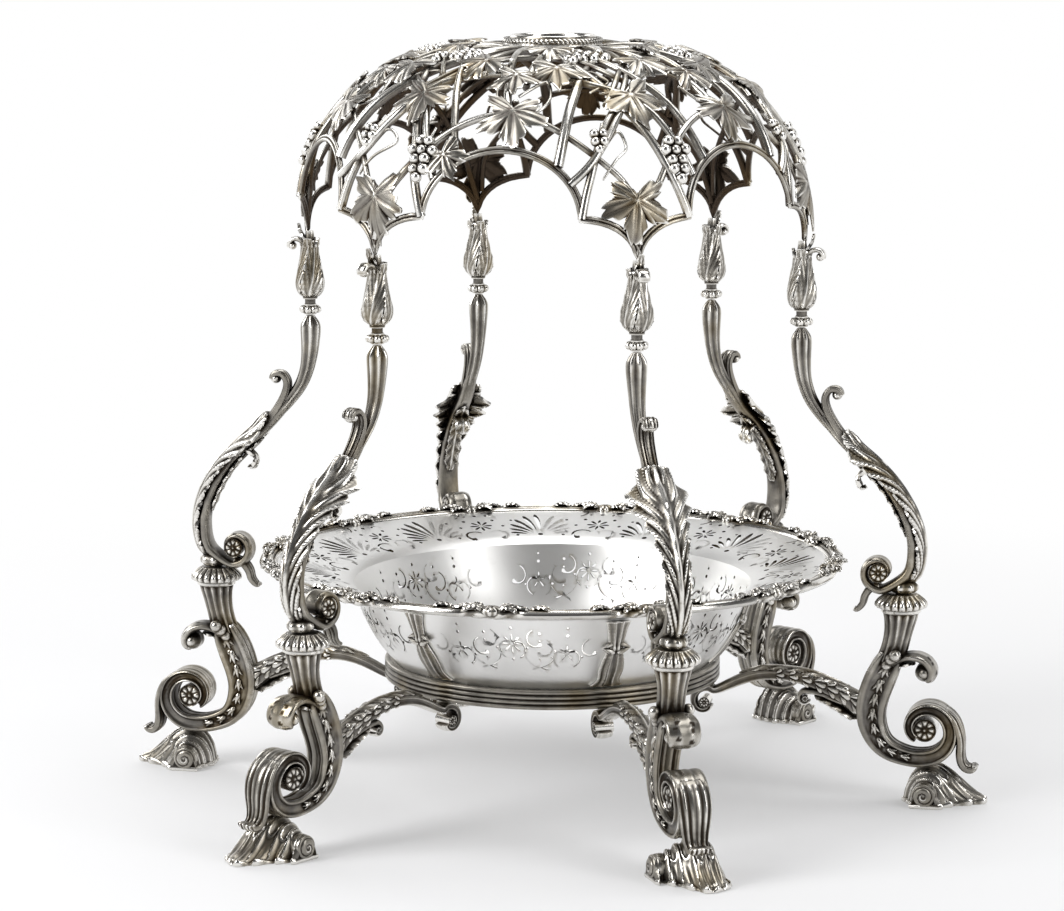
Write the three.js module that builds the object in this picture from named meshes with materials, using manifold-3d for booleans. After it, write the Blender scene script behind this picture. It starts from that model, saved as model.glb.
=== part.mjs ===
// A silver table centerpiece: six scrolled legs on snail-shell feet carry a reeded ring with a wide
// bowl in it, and six scrolled uprights stand in the legs' sockets and hold up an openwork vine
// canopy. The bowl lifts out of its ring, and the canopy lifts off together with its uprights.
// Millimetres, +Z up. The origin is on the floor, under the middle of the ring. A leg lies along +X.
import * as THREE from "three";
import { mergeVertices } from "three/addons/utils/BufferGeometryUtils.js";
import Module from "manifold-3d";

const wasm = await Module();
wasm.setup();

// Plan
const columnCount = 6;
const pitch = 360 / columnCount; // degrees from one leg to the next
const seatGap = 0.3; // between pieces that touch

// Shell feet
const shellLength = 52; // from the leg's back to the shell's lip
const shellWidth = 42;
const shellHeight = 24; // to the flat seat that the leg stands on
const shellBack = 13; // how far the shell reaches behind the leg's volute
const spireRadius = 8;
const spireLength = 7; // beyond the shell's side

// Legs
const legVoluteX = 235; // eye of the leg's volute, from the part's axis
const legVoluteRadius = 18.6; // of the band's middle line where the scroll begins
const legVoluteEnd = 6.5; // and where it ends
const legBandHalf = 5.2; // half thickness under the volute
const legBandEnd = 1.9; // and at the end of the scroll
const legHalfWidth = 8;
const legSeatDepth = 1; // cut off the scroll's underside to seat it
const legVoluteZ = shellHeight + seatGap + legVoluteRadius + legBandHalf - legSeatDepth;
const legEyeRadius = 6.5;
const legEyeProud = 0.6; // of the band's sides

// Sockets and caps
const socketX = 218.5; // axis of a socket, from the part's axis
const socketTop = 121.2;
const socketHalf = 11.5;
const boreDepth = 13;
const capRadius = 16.5;
const capHeight = 9;
const gadroonCount = 8;
const pinRadius = 3.5;
const pinClearance = 0.3;
const pinLength = 20;

// Ring that carries the bowl, and the arms under it
const ringOuter = 105;
const ringInner = 91.5;
const ringBottom = 70.5;
const ringHeight = 12;
const reedCount = 3;
const reedDepth = 1.4;
const armJointX = 196; // plane where an arm meets its leg
const armHalfWidth = 5.6;
const armCurlX = 97; // eye of the curl that ends an arm
const armCurlDrop = 12; // below the ring
const armCurlRadius = 10;
const armCurlEnd = 4;
const armBandHalf = 5.6;

// Bowl and border
const bowlWall = 1.5;
const bowlFloorRadius = 78;
const bowlFloorDrop = 4; // the middle of the floor lies lower than its edge
const bowlSeatInner = 90;
const bowlSeatWidth = 8;
const bowlSeatRise = 6;
const bowlDepth = 54; // from the seat's inner edge to the mouth
const bowlMouthRadius = 125;
const flangeRadius = 172;
const flangeRise = 13.5;
const borderWaves = 12;
const borderWaveDepth = 3;
const borderHalf = 2.5;
const strapHalfAngle = 4.2; // degrees
const strapDepth = 1.6;

// Uprights
const uprightVoluteBack = 13.5; // eye of the upright's volute, inward of the socket's axis
const uprightVoluteRise = 13.2;
const uprightVoluteRadius = 11.5;
const uprightVoluteEnd = 4;
const uprightPadRadius = 9;
const uprightPadHeight = 6;
const uprightBandHalf = 3;
const uprightHalfWidth = 7.5;
const shaftTop = 293;
const shaftRadius = 6.3;
const knopHeight = 6;
const knopRadius = 6.6;
const balusterHeight = 53;
const balusterRadius = 8.7;
const balusterNeck = 4.8;
const balusterCurlHalf = 2.4;
const balusterCurlWidth = 3.6;

// Canopy
const domeRadius = 156.5;
const tipInset = 1.5; // from the dome's foot in to the axis of the column under it
const domeRise = 117;
const domeFullness = 2.35; // 2 is an ellipse, and more is fuller
const crownRadius = 31;
const crownOpening = 23.5;
const crownHeight = 6;
const crownLip = 3;
const arcadeHalf = 1.8; // the moulding along the canopy's lower edge
const ribHalfWidth = 1.9;
const ribHalfDepth = 1.7;
const cuspAngle = 12.2; // degrees from a column to the cusp beside it
const cuspHeight = 24; // up the dome, from its foot
const archRise = 41;
const vineArchHalf = 26; // degrees, of the lower interlaced arch
const vineArchTop = 88;
const highArchHalf = 34;
const highArchTop = 128;
const haunchAngle = 9; // degrees, of the rib that stands on the side of a bay's arch
const spandrelLeafHeight = 32;
const bayLeafRise = 3; // over the lower interlaced arch
const grapeHeight = 58;
const leafHalfWidth = 15.5;
const leafHalfHeight = 16.5;
const leafThickness = 1.1;
const berryRadius = 4.2;

const socketFloor = socketTop + seatGap + capHeight + seatGap;
const columnX = domeRadius - tipInset; // axis of a shaft's top, its baluster and the canopy's tip
const tipZ = shaftTop + seatGap + balusterHeight + seatGap;
const crownZ = tipZ + domeRise;
const ringTop = ringBottom + ringHeight;
const bowlFloorZ = ringTop - bowlSeatRise - 4 * seatGap;
const bowlMouthZ = bowlFloorZ + bowlDepth;
const flangeZ = bowlMouthZ + flangeRise;

const radians = THREE.MathUtils.degToRad;

const castSilver = new THREE.MeshStandardMaterial({ color: 0xb9b2a4, roughness: 0.3, metalness: 1 });
const sheetSilver = new THREE.MeshStandardMaterial({ color: 0xd9d7d2, roughness: 0.15, metalness: 1 });
const vineSilver = new THREE.MeshStandardMaterial({ color: 0xc9c6be, roughness: 0.25, metalness: 1 });

// Turns a closed geometry into a solid that can be joined and cut, whichever way its faces wind. A
// face that shrank to a line, as at a pole, is left out.
function solidOf(geometry) {
  const bare = geometry.index ? geometry.toNonIndexed() : geometry.clone();
  bare.deleteAttribute("normal");
  bare.deleteAttribute("uv");
  const merged = mergeVertices(bare, 1e-4);
  const faces = [];
  for (let i = 0; i < merged.index.count; i += 3) {
    const [a, b, c] = merged.index.array.subarray(i, i + 3);
    if (a !== b && b !== c && c !== a) faces.push(a, b, c);
  }
  const build = (triangles) =>
    new wasm.Manifold(
      new wasm.Mesh({
        numProp: 3,
        vertProperties: merged.attributes.position.array,
        triVerts: new Uint32Array(triangles),
      }),
    );
  const solid = build(faces);
  return solid.volume() > 0 ? solid : build(faces.reverse());
}

function join(solids) {
  return solids.reduce((whole, piece) => whole.add(piece));
}

function meshOf(name, solid, material) {
  const { vertProperties, triVerts, numProp, numVert } = solid.getMesh();
  const points = new Float32Array(numVert * 3);
  for (let i = 0; i < numVert; i++) points.set(vertProperties.subarray(i * numProp, i * numProp + 3), i * 3);
  const geometry = new THREE.BufferGeometry();
  geometry.setAttribute("position", new THREE.BufferAttribute(points, 3));
  geometry.setIndex(new THREE.BufferAttribute(new Uint32Array(triVerts), 1));
  const mesh = new THREE.Mesh(geometry, material);
  mesh.name = name;
  return mesh;
}

// Skins a row of rings that all have the same number of points. A closed row joins its last ring to
// its first, and an open one is capped at both ends.
function skin(rings, closed = false) {
  const sides = rings[0].length;
  const spans = closed ? rings.length : rings.length - 1;
  const points = rings.flat();
  const faces = [];
  for (let i = 0; i < spans; i++) {
    const here = i * sides;
    const there = ((i + 1) % rings.length) * sides;
    for (let j = 0; j < sides; j++) {
      const next = (j + 1) % sides;
      faces.push(here + j, here + next, there + j, here + next, there + next, there + j);
    }
  }
  if (!closed) {
    const last = (rings.length - 1) * sides;
    for (let j = 1; j + 1 < sides; j++) {
      faces.push(0, j + 1, j, last, last + j, last + j + 1);
    }
  }
  const geometry = new THREE.BufferGeometry().setFromPoints(points);
  geometry.setIndex(faces);
  return solidOf(geometry);
}

// Stations of a bar, each [x, z, half thickness, half width]. They are given from an anchor point, the
// first two in hundredths of the piece's length and the others as shares of its band.
function from(x, z, { length, thick, wide }, offsets) {
  const run = length / 100;
  return offsets.map(([dx, dz, t, w]) => [x + dx * run, z + dz * run, t * thick, w * wide]);
}

// Stations along a volute about its eye, with its reach, its angle in degrees, and its band's half
// thickness and half width each given at both ends.
function volute(x, z, { reach, angle, thick, wide, steps }) {
  const mix = ([a, b], u) => THREE.MathUtils.lerp(a, b, u);
  return Array.from({ length: steps + 1 }, (_, i) => {
    const u = i / steps;
    const turn = radians(mix(angle, u));
    const r = mix(reach, u);
    return [x + r * Math.cos(turn), z + r * Math.sin(turn), mix(thick, u), mix(wide, u)];
  });
}

// A bar that follows its stations in a leg's upright plane, with a ring of points at each.
function scrollBar(stations, sides, fluting = 0) {
  const line = new THREE.CatmullRomCurve3(stations.map(([x, z]) => new THREE.Vector3(x, 0, z)));
  const rings = stations.map(([x, z, thick, wide], i) => {
    const along = line.getTangent(i / (stations.length - 1));
    return Array.from({ length: sides }, (_, j) => {
      const turn = ((j + 0.5) / sides) * 2 * Math.PI;
      const flute = 1 + (j % 2 ? fluting : -fluting);
      const out = thick * flute * Math.cos(turn);
      const across = wide * flute * Math.sin(turn);
      return new THREE.Vector3(x + along.z * out, across, z - along.x * out);
    });
  });
  return skin(rings);
}

// A closed outline of [radius, height] pairs carried round the part's axis through the given angles.
function spin(outline, angles) {
  return skin(
    angles.map((angle) =>
      outline.map(([r, z]) => new THREE.Vector3(r * Math.cos(radians(angle)), r * Math.sin(radians(angle)), z)),
    ),
    true,
  );
}

// A turned piece on an upright axis at x: pairs of [radius, height] from the bottom up.
function turned(x, levels, sides, fluting = 0) {
  const rings = levels.map(([radius, z]) =>
    Array.from({ length: sides }, (_, j) => {
      const turn = ((j + 0.5) / sides) * 2 * Math.PI;
      const reach = radius * (1 + (j % 2 ? fluting : -fluting));
      return new THREE.Vector3(x + reach * Math.cos(turn), reach * Math.sin(turn), z);
    }),
  );
  return skin(rings);
}

// A round boss across the leg's plane, such as a volute's eye.
function boss(x, z, radius, halfWidth) {
  return solidOf(new THREE.CylinderGeometry(radius, radius, 2 * halfWidth, 6).translate(x, 0, z));
}

function block(low, high) {
  const size = high.map((v, i) => v - low[i]);
  return solidOf(new THREE.BoxGeometry(...size).translate(...low.map((v, i) => v + size[i] / 2)));
}

// A ribbed snail shell lying on its side, with its spire to +Y or -Y and a flat seat on top.
function shellFoot(side) {
  const back = legVoluteX - shellBack;
  const axisX = back + shellLength * 0.33;
  const lip = back + shellLength - axisX;
  const ribs = 7;
  const arc = 6;
  const rings = Array.from({ length: ribs + 1 }, (_, i) => {
    const share = (2 * i) / ribs - 1;
    const girth = Math.sqrt(1 - 0.9 * share * share) * (i % 2 ? 1.04 : 0.98);
    return Array.from({ length: arc }, (_, j) => {
      const turn = (j / (arc - 1)) * Math.PI;
      const reach = Math.cos(turn) > 0 ? lip : axisX - back;
      const x = axisX + reach * Math.min(1, 0.3 + 0.7 * girth) * Math.cos(turn);
      const high = 1.125 * shellHeight * girth * Math.sin(turn) ** (Math.cos(turn) > 0 ? 1.5 : 0.7);
      return new THREE.Vector3(x, (share * shellWidth) / 2, high);
    });
  });
  const spireX = back + spireRadius * 1.4;
  const spire = [-0.8 * spireLength, 0.4 * spireLength, spireLength].map((reach, i) =>
    Array.from({ length: 6 }, (_, j) => {
      const turn = ((j + 0.5) / 6) * 2 * Math.PI;
      const radius = spireRadius * [1, 0.95, 0.6][i];
      const [x, z] = [spireX + radius * Math.cos(turn), spireRadius + radius * Math.sin(turn)];
      return new THREE.Vector3(x, side * (shellWidth / 2 + reach), z);
    }),
  );
  const room = block([back - 1, -shellWidth, 0], [back + shellLength + 1, shellWidth, shellHeight]);
  return join([skin(rings), skin(spire)]).intersect(room);
}

// The leg: a fluted socket over a C-scroll, with a leaf curl in front and a leaf over the shell
function legCasting() {
  const leg = { length: socketTop - legVoluteZ, thick: legBandHalf, wide: legHalfWidth };
  const scroll = [
    [socketX, socketTop, socketHalf, socketHalf],
    ...from(socketX, socketTop, leg, [
      [-1.3, -12.1, 1.85, 1.25],
      [-5.4, -31, 1.77, 1.12],
      [-14.8, -52.6, 1.92, 1],
      [-22.9, -72.9, 1.92, 1],
    ]),
    ...from(legVoluteX, legVoluteZ, leg, [
      [-44.5, 1.3, 1.69, 1],
      [-34.4, -14.2, 1.31, 1],
      [-18.9, -23.6, 1.08, 1],
    ]),
    ...volute(legVoluteX, legVoluteZ, {
      reach: [legVoluteRadius, legVoluteEnd],
      angle: [-90, 180],
      thick: [legBandHalf, legBandEnd],
      wide: [legHalfWidth, legHalfWidth * 1.12],
      steps: 6,
    }),
  ];
  const curl = from(socketX, socketTop, leg, [
    [2.7, -41.8, 0.65, 0.62],
    [16.2, -35.1, 0.58, 0.88],
    [27.7, -39.8, 0.54, 1],
    [26.3, -54, 0.31, 0.88],
  ]);
  const tail = from(legVoluteX + legVoluteRadius, legVoluteZ, leg, [
    [-4, -8.1, 0.62, 0.62],
    [0.7, -22.9, 0.5, 0.75],
    [7.4, -33.7, 0.31, 0.81],
  ]);
  const side = 2 * socketHalf;
  const aboveSocket = block([0, -side, socketTop], [2 * socketX, side, 2 * socketTop]);
  const casting = join([
    scrollBar(scroll, 6),
    boss(legVoluteX, legVoluteZ, legEyeRadius, legHalfWidth + legEyeProud),
    scrollBar(curl, 4),
    scrollBar(tail, 4),
  ]);
  const boreRadius = pinRadius + pinClearance;
  const bore = turned(socketX, [[boreRadius, socketTop - boreDepth], [boreRadius, socketTop + 1]], 6);
  const seatEnd = legVoluteX + legVoluteRadius * 0.8;
  const belowSeat = block([armJointX, -side, 0], [seatEnd, side, shellHeight + seatGap]);
  const behindJoint = block([0, -side, 0], [armJointX, side, socketTop]);
  return [bore, aboveSocket, belowSeat, behindJoint].reduce((rest, cut) => rest.subtract(cut), casting);
}

// The arm from a leg to the ring, which curls over under the ring
function bowlArm() {
  const arm = { length: armJointX - armCurlX, thick: armBandHalf, wide: armHalfWidth };
  const stations = [
    ...from(armJointX, ringBottom, arm, [
      [4, -16.2, 1.88, 1],
      [-8.1, -7.6, 1.46, 1],
      [-24.2, 0.5, 1, 1],
      [-45.5, 6.1, 0.75, 1],
      [-65.7, 5.6, 0.71, 1],
      [-82.8, -0.5, 0.64, 1],
    ]),
    ...volute(armCurlX, ringBottom - armCurlDrop, {
      reach: [armCurlRadius, armCurlEnd],
      angle: [60, 270],
      thick: [armBandHalf * 0.57, armBandHalf * 0.36],
      wide: [armHalfWidth, armHalfWidth],
      steps: 4,
    }),
  ];
  const hook = from(armJointX, ringBottom, arm, [
    [-16.2, -8.1, 0.46, 0.71],
    [-31.3, -3.5, 0.39, 0.79],
    [-40.4, -7.6, 0.36, 0.79],
    [-35.4, -12.6, 0.21, 0.71],
  ]);
  const side = 2 * armHalfWidth;
  const underRing = block([0, -side, ringBottom - seatGap], [ringOuter + 1.5, side, 2 * ringTop]);
  const pastJoint = block([armJointX - seatGap, -side, 0], [legVoluteX, side, socketTop]);
  return join([scrollBar(stations, 6), scrollBar(hook, 4)]).subtract(underRing).subtract(pastJoint);
}

function gadroonedCap() {
  const base = socketTop + seatGap;
  const levels = [
    [capRadius * 0.74, base],
    [capRadius, base + capHeight * 0.3],
    [capRadius * 0.94, base + capHeight * 0.6],
    [capRadius * 0.64, base + capHeight],
  ];
  const boreRadius = pinRadius + pinClearance;
  const bore = turned(socketX, [[boreRadius, base - 1], [boreRadius, base + capHeight + 1]], 6);
  return turned(socketX, levels, 2 * gadroonCount, 0.035).subtract(bore);
}

// The scrolled upright: a volute, a leaf-wrapped band, a reeded shaft and a pin for the socket
function scrolledUpright() {
  const eyeX = socketX - uprightVoluteBack;
  const eyeZ = socketFloor + uprightVoluteRise;
  const stem = { length: shaftTop - socketFloor, thick: uprightBandHalf, wide: uprightHalfWidth };
  const shaft = { ...stem, thick: shaftRadius, wide: shaftRadius };
  const stations = [
    ...volute(eyeX, eyeZ, {
      reach: [uprightVoluteEnd, uprightVoluteRadius],
      angle: [60, 290],
      thick: [uprightBandHalf * 0.6, uprightBandHalf],
      wide: [uprightHalfWidth * 0.93, uprightHalfWidth],
      steps: 4,
    }),
    ...from(eyeX, eyeZ, stem, [
      [8, -3.7, 1, 1],
      [12.5, 4.9, 1, 1.01],
      [12.6, 14.2, 0.97, 1.12],
      [8.6, 24.4, 0.93, 1.33],
      [0.6, 35.5, 0.93, 1.63],
    ]),
    ...from(columnX, shaftTop, shaft, [
      [23.1, -49, 0.48, 1.9],
      [14.2, -40.4, 0.63, 0.79],
      [5.2, -30.8, 0.73, 0.76],
      [0.4, -16.6, 0.92, 0.92],
      [0, -4.9, 1, 1],
      [0, 0, 0.54, 0.54],
    ]),
  ];
  const outerCurl = from(columnX, shaftTop, stem, [
    [16.6, -41.3, 0.87, 0.53],
    [9.6, -32.1, 0.77, 0.59],
    [8.6, -25.6, 0.73, 0.64],
    [12.6, -24, 0.53, 0.64],
  ]);
  const innerCurl = from(eyeX, eyeZ, stem, [
    [1.2, 34.5, 0.8, 0.53],
    [-4.9, 36.4, 0.77, 0.53],
    [-6.2, 30.8, 0.47, 0.53],
  ]);
  const tail = from(eyeX, eyeZ, stem, [
    [-3.7, -4.9, 0.8, 0.53],
    [-5.5, -9.2, 0.67, 0.67],
    [-5.9, -14.8, 0.4, 0.67],
  ]);
  const pin = turned(
    socketX,
    [
      [pinRadius, socketFloor - pinLength],
      [pinRadius, socketFloor],
      [uprightPadRadius, socketFloor],
      [uprightPadRadius * 0.7, socketFloor + uprightPadHeight],
    ],
    6,
  );
  return join([
    scrollBar(stations, 6, 0.05),
    boss(eyeX, eyeZ, uprightVoluteEnd * 1.4, uprightHalfWidth * 1.04),
    scrollBar(outerCurl, 4),
    scrollBar(innerCurl, 4),
    scrollBar(tail, 4),
    pin,
  ]);
}

// The baluster between shaft and canopy: a knop, a leafy vase and a leaf curl at its shoulder
function leafyBaluster() {
  const base = shaftTop + seatGap;
  const vase = base + knopHeight * 2;
  const top = base + balusterHeight;
  const waist = knopRadius / 2;
  const levels = [
    [waist, base],
    [knopRadius, base + knopHeight * 0.4],
    [knopRadius, base + knopHeight * 0.6],
    [waist, base + knopHeight],
    [waist, vase],
    [balusterRadius, vase + balusterHeight * 0.13],
    [balusterRadius * 0.9, vase + balusterHeight * 0.26],
    [balusterNeck, vase + balusterHeight * 0.53],
    [balusterNeck, top - balusterHeight * 0.06],
    [balusterNeck * 0.88, top],
  ];
  const band = { length: balusterHeight, thick: balusterCurlHalf, wide: balusterCurlWidth };
  const curl = from(columnX, top, band, [
    [0, -20.8, 1, 0.83],
    [15.1, -8.5, 0.83, 1],
    [24.5, -15.1, 0.67, 1.11],
    [17.9, -22.6, 0.42, 0.97],
  ]);
  return join([turned(columnX, levels, 8, 0.05), scrollBar(curl, 4)]);
}

// Angles of the bowl's and ring's facets, which share them so that the two nest.
function bowlAngles() {
  const inPitch = [-strapHalfAngle, 0, strapHalfAngle, 17, 30, 43];
  return Array.from({ length: columnCount }, (_, k) => inPitch.map((angle) => k * pitch + angle)).flat();
}

// The bowl's outer line, from the middle of its floor to the edge of its flange
function bowlOutline() {
  const wall = new THREE.CatmullRomCurve3(
    [
      [bowlSeatInner + bowlSeatWidth, bowlFloorZ + bowlSeatRise],
      [bowlMouthRadius * 0.9, bowlFloorZ + bowlDepth * 0.42],
      [bowlMouthRadius * 0.96, bowlMouthZ - bowlDepth * 0.25],
      [bowlMouthRadius, bowlMouthZ],
    ].map(([r, z]) => new THREE.Vector3(r, 0, z)),
  );
  const wallSteps = 5;
  return [
    [bowlFloorRadius, bowlFloorZ - bowlFloorDrop],
    [bowlSeatInner, bowlFloorZ],
    ...Array.from({ length: wallSteps + 1 }, (_, i) => {
      const { x, z } = wall.getPoint(i / wallSteps);
      return [x, z];
    }),
    [flangeRadius, flangeZ],
  ];
}

// Over each arm the wall is drawn in a little, as an upright fluted strap.
function dishedBowl() {
  const outer = bowlOutline();
  const inner = outer.map(([r, z], i) => {
    const [r0, z0] = outer[Math.max(0, i - 1)];
    const [r1, z1] = outer[Math.min(outer.length - 1, i + 1)];
    const length = Math.hypot(r1 - r0, z1 - z0);
    return [r - (bowlWall * (z1 - z0)) / length, z + (bowlWall * (r1 - r0)) / length];
  });
  const floorZ = bowlFloorZ - bowlFloorDrop;
  inner[0] = [bowlFloorRadius, floorZ + bowlWall];
  const section = [[0, floorZ], ...outer, ...inner.reverse(), [0, floorZ + bowlWall]];
  const seatTop = bowlFloorZ + bowlSeatRise + bowlWall;
  const spokes = bowlAngles().map((angle) => {
    const onStrap = Math.abs(angle % pitch) < 0.1;
    return section.map(([r, z]) => {
      const inWall = z > seatTop && z < bowlMouthZ - bowlWall;
      const reach = r - (onStrap && inWall ? strapDepth : 0);
      return new THREE.Vector3(reach * Math.cos(radians(angle)), reach * Math.sin(radians(angle)), z);
    });
  });
  return skin(spokes, true);
}

function castBorder() {
  const count = 4 * borderWaves;
  const middle = flangeZ + bowlWall / 2;
  const rings = Array.from({ length: count }, (_, i) => {
    const turn = (i / count) * 2 * Math.PI;
    const wave = borderWaveDepth * Math.abs(Math.sin((turn * borderWaves) / 2));
    const inside = flangeRadius + 2 * seatGap;
    return [
      [inside, middle - borderHalf],
      [inside + 1.6 * borderHalf + wave, middle - borderHalf * 0.7],
      [inside + 2 * borderHalf + wave, middle + borderHalf * 0.4],
      [inside, middle + borderHalf],
    ].map(([r, z]) => new THREE.Vector3(r * Math.cos(turn), r * Math.sin(turn), z));
  });
  return skin(rings, true);
}

function reededRing() {
  const slope = bowlSeatRise / bowlSeatWidth;
  const seatAt = (r) => bowlFloorZ + slope * (r - bowlSeatInner) - 2 * seatGap;
  const seatEdge = bowlSeatInner + (ringTop - bowlFloorZ + 2 * seatGap) / slope;
  const reed = ringHeight / reedCount;
  const reeds = Array.from({ length: reedCount }, (_, i) => [
    [ringOuter - reedDepth, ringBottom + i * reed],
    [ringOuter, ringBottom + (i + 0.5) * reed],
  ]).flat();
  const outline = [
    [ringInner, ringBottom],
    ...reeds,
    [ringOuter - reedDepth, ringTop],
    [seatEdge, ringTop],
    [ringInner, seatAt(ringInner)],
  ];
  return spin(outline, bowlAngles());
}

// The dome's meridian, from the canopy's foot to the top ring
class Meridian extends THREE.Curve {
  getPoint(t, target = new THREE.Vector3()) {
    const turn = (t * Math.PI) / 2;
    const out = Math.max(0, Math.cos(turn)) ** (2 / domeFullness);
    const up = Math.sin(turn) ** (2 / domeFullness);
    return target.set(crownOpening + 2 + (domeRadius - crownOpening - 2) * out, 0, tipZ + domeRise * up);
  }
}
const meridian = new Meridian();
meridian.arcLengthDivisions = 400;
const meridianLength = meridian.getLength();

// A point on the dome: its angle in degrees, its height up the meridian and how far off it stands
function onDome(angle, height, standOff = 0) {
  const u = THREE.MathUtils.clamp(height / meridianLength, 0.002, 0.998);
  const p = meridian.getPointAt(u);
  const along = meridian.getTangentAt(u);
  const r = p.x + along.z * standOff;
  const turn = radians(angle);
  return new THREE.Vector3(r * Math.cos(turn), r * Math.sin(turn), p.z - along.x * standOff);
}

// Rings of a bar laid on the dome along a list of [angle, height], for a section of [across, out]
function domeRings(route, section, closed = false) {
  const count = route.length;
  const step = (i) => (closed ? (i + count) % count : THREE.MathUtils.clamp(i, 0, count - 1));
  return route.map(([angle, height], i) => {
    const at = onDome(angle, height);
    const before = onDome(...route[step(i - 1)]);
    const after = onDome(...route[step(i + 1)]);
    const out = onDome(angle, height, 1).sub(at).normalize();
    const along = after.sub(before).projectOnPlane(out).normalize();
    const across = new THREE.Vector3().crossVectors(along, out);
    return section.map(([a, b]) => at.clone().addScaledVector(across, a).addScaledVector(out, b));
  });
}

const ribSection = [
  [ribHalfWidth, -ribHalfDepth],
  [0, ribHalfDepth],
  [-ribHalfWidth, -ribHalfDepth],
];
const arcadeSection = [
  [arcadeHalf, 0],
  [0, arcadeHalf],
  [-arcadeHalf, 0],
  [0, -arcadeHalf],
];

function rib(start, end, steps) {
  const route = Array.from({ length: steps + 1 }, (_, i) => [
    THREE.MathUtils.lerp(start[0], end[0], i / steps),
    THREE.MathUtils.lerp(start[1], end[1], i / steps),
  ]);
  return skin(domeRings(route, ribSection));
}

// An interlaced arch of vine, from its springing up to its top
function vineArch(centre, halfSpan, springing, top, steps) {
  const route = Array.from({ length: steps + 1 }, (_, i) => {
    const turn = (i / steps) * Math.PI;
    return [centre - halfSpan * Math.cos(turn), springing + (top - springing) * Math.sin(turn)];
  });
  return skin(domeRings(route, ribSection));
}

// The canopy's lower edge, as one unbroken moulding: over each column it comes down to a tip, rises
// by a small quarter arc to a cusp on either side, and spans each bay with a round arch.
function arcade() {
  const archHalf = pitch / 2 - cuspAngle;
  const route = [];
  for (let k = 0; k < columnCount; k++) {
    const column = k * pitch;
    const centre = column + pitch / 2;
    route.push([column, arcadeHalf]);
    for (const turn of [25, 55, 90]) {
      const across = cuspAngle * (1 - Math.cos(radians(turn)));
      route.push([column + across, cuspHeight * Math.sin(radians(turn))]);
    }
    for (const turn of [22, 45, 67, 90, 113, 135, 158]) {
      const across = archHalf * Math.cos(radians(turn));
      route.push([centre - across, cuspHeight + archRise * Math.sin(radians(turn))]);
    }
    for (const turn of [90, 55, 25]) {
      const across = cuspAngle * (1 - Math.cos(radians(turn)));
      route.push([column + pitch - across, cuspHeight * Math.sin(radians(turn))]);
    }
  }
  return skin(domeRings(route, arcadeSection, true), true);
}

function vineTrellis() {
  const top = meridianLength - ribHalfWidth;
  const archHalf = pitch / 2 - cuspAngle;
  const bars = [arcade()];
  for (let k = 0; k < columnCount; k++) {
    const centre = (k + 0.5) * pitch;
    for (const side of [-1, 1]) {
      bars.push(rib([centre + side * (archHalf + 1), cuspHeight], [centre + side * archHalf, top], 4));
    }
    const landing = cuspHeight + archRise * Math.sqrt(1 - (haunchAngle / archHalf) ** 2);
    bars.push(rib([centre + haunchAngle, landing], [centre + haunchAngle, highArchTop * 0.95], 2));
    bars.push(vineArch(centre, vineArchHalf, cuspHeight * 0.6, vineArchTop, 6));
    bars.push(vineArch(centre, highArchHalf, cuspHeight, highArchTop, 6));
  }
  const angles = Array.from({ length: 18 }, (_, i) => i * 20);
  const crownBand = spin(
    [
      [crownOpening + 0.5, crownZ - crownLip],
      [crownRadius, crownZ - crownLip],
      [crownRadius, crownZ - seatGap],
      [crownOpening + 0.5, crownZ - seatGap],
    ],
    angles,
  );
  const reach = 2 * crownRadius;
  const above = block([-reach, -reach, crownZ - seatGap], [reach, reach, crownZ + reach]);
  return join([...bars, crownBand]).subtract(above);
}

function ropedRing() {
  const angles = Array.from({ length: 18 }, (_, i) => i * 20);
  const outline = [
    [crownOpening, crownZ],
    [crownRadius * 0.97, crownZ],
    [crownRadius, crownZ + crownHeight * 0.4],
    [crownRadius * 0.94, crownZ + crownHeight],
    [crownOpening, crownZ + crownHeight],
  ];
  return spin(outline, angles);
}

// A five-lobed vine leaf, bent to the dome and raised along its middle. Its lobes are given as
// [across, up] of its half width and half height, for its right half from the stalk down.
const leafLobes = [
  [0.22, 0.55],
  [0.7, 0.75],
  [0.6, 0.25],
  [1, -0.1],
  [0.5, -0.4],
];

function vineLeaf(angle, height, lean) {
  const mirrored = leafLobes.map(([across, up]) => [-across, up]).reverse();
  const outline = [...leafLobes, [0, -1], ...mirrored];
  const standOff = arcadeHalf + seatGap - 0.2;
  const reachAt = onDome(0, height).x;
  const place = ([across, up], off) => {
    const x = leafHalfWidth * across * Math.cos(lean) - leafHalfHeight * up * Math.sin(lean);
    const y = leafHalfWidth * across * Math.sin(lean) + leafHalfHeight * up * Math.cos(lean);
    return onDome(angle + THREE.MathUtils.radToDeg(x / reachAt), height + y, off);
  };
  const count = outline.length;
  const under = outline.map((p) => place(p, standOff));
  const over = outline.map((p) => place(p, standOff + leafThickness));
  const middles = [0.5, 3].map((rise) => place([0, 0.1], standOff + rise * leafThickness));
  const faces = [];
  for (let j = 0; j < count; j++) {
    const next = (j + 1) % count;
    faces.push(j, next, count + j, next, count + next, count + j);
    faces.push(2 * count, next, j, 2 * count + 1, count + j, count + next);
  }
  const geometry = new THREE.BufferGeometry().setFromPoints([...under, ...over, ...middles]);
  geometry.setIndex(faces);
  return solidOf(geometry);
}

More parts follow.
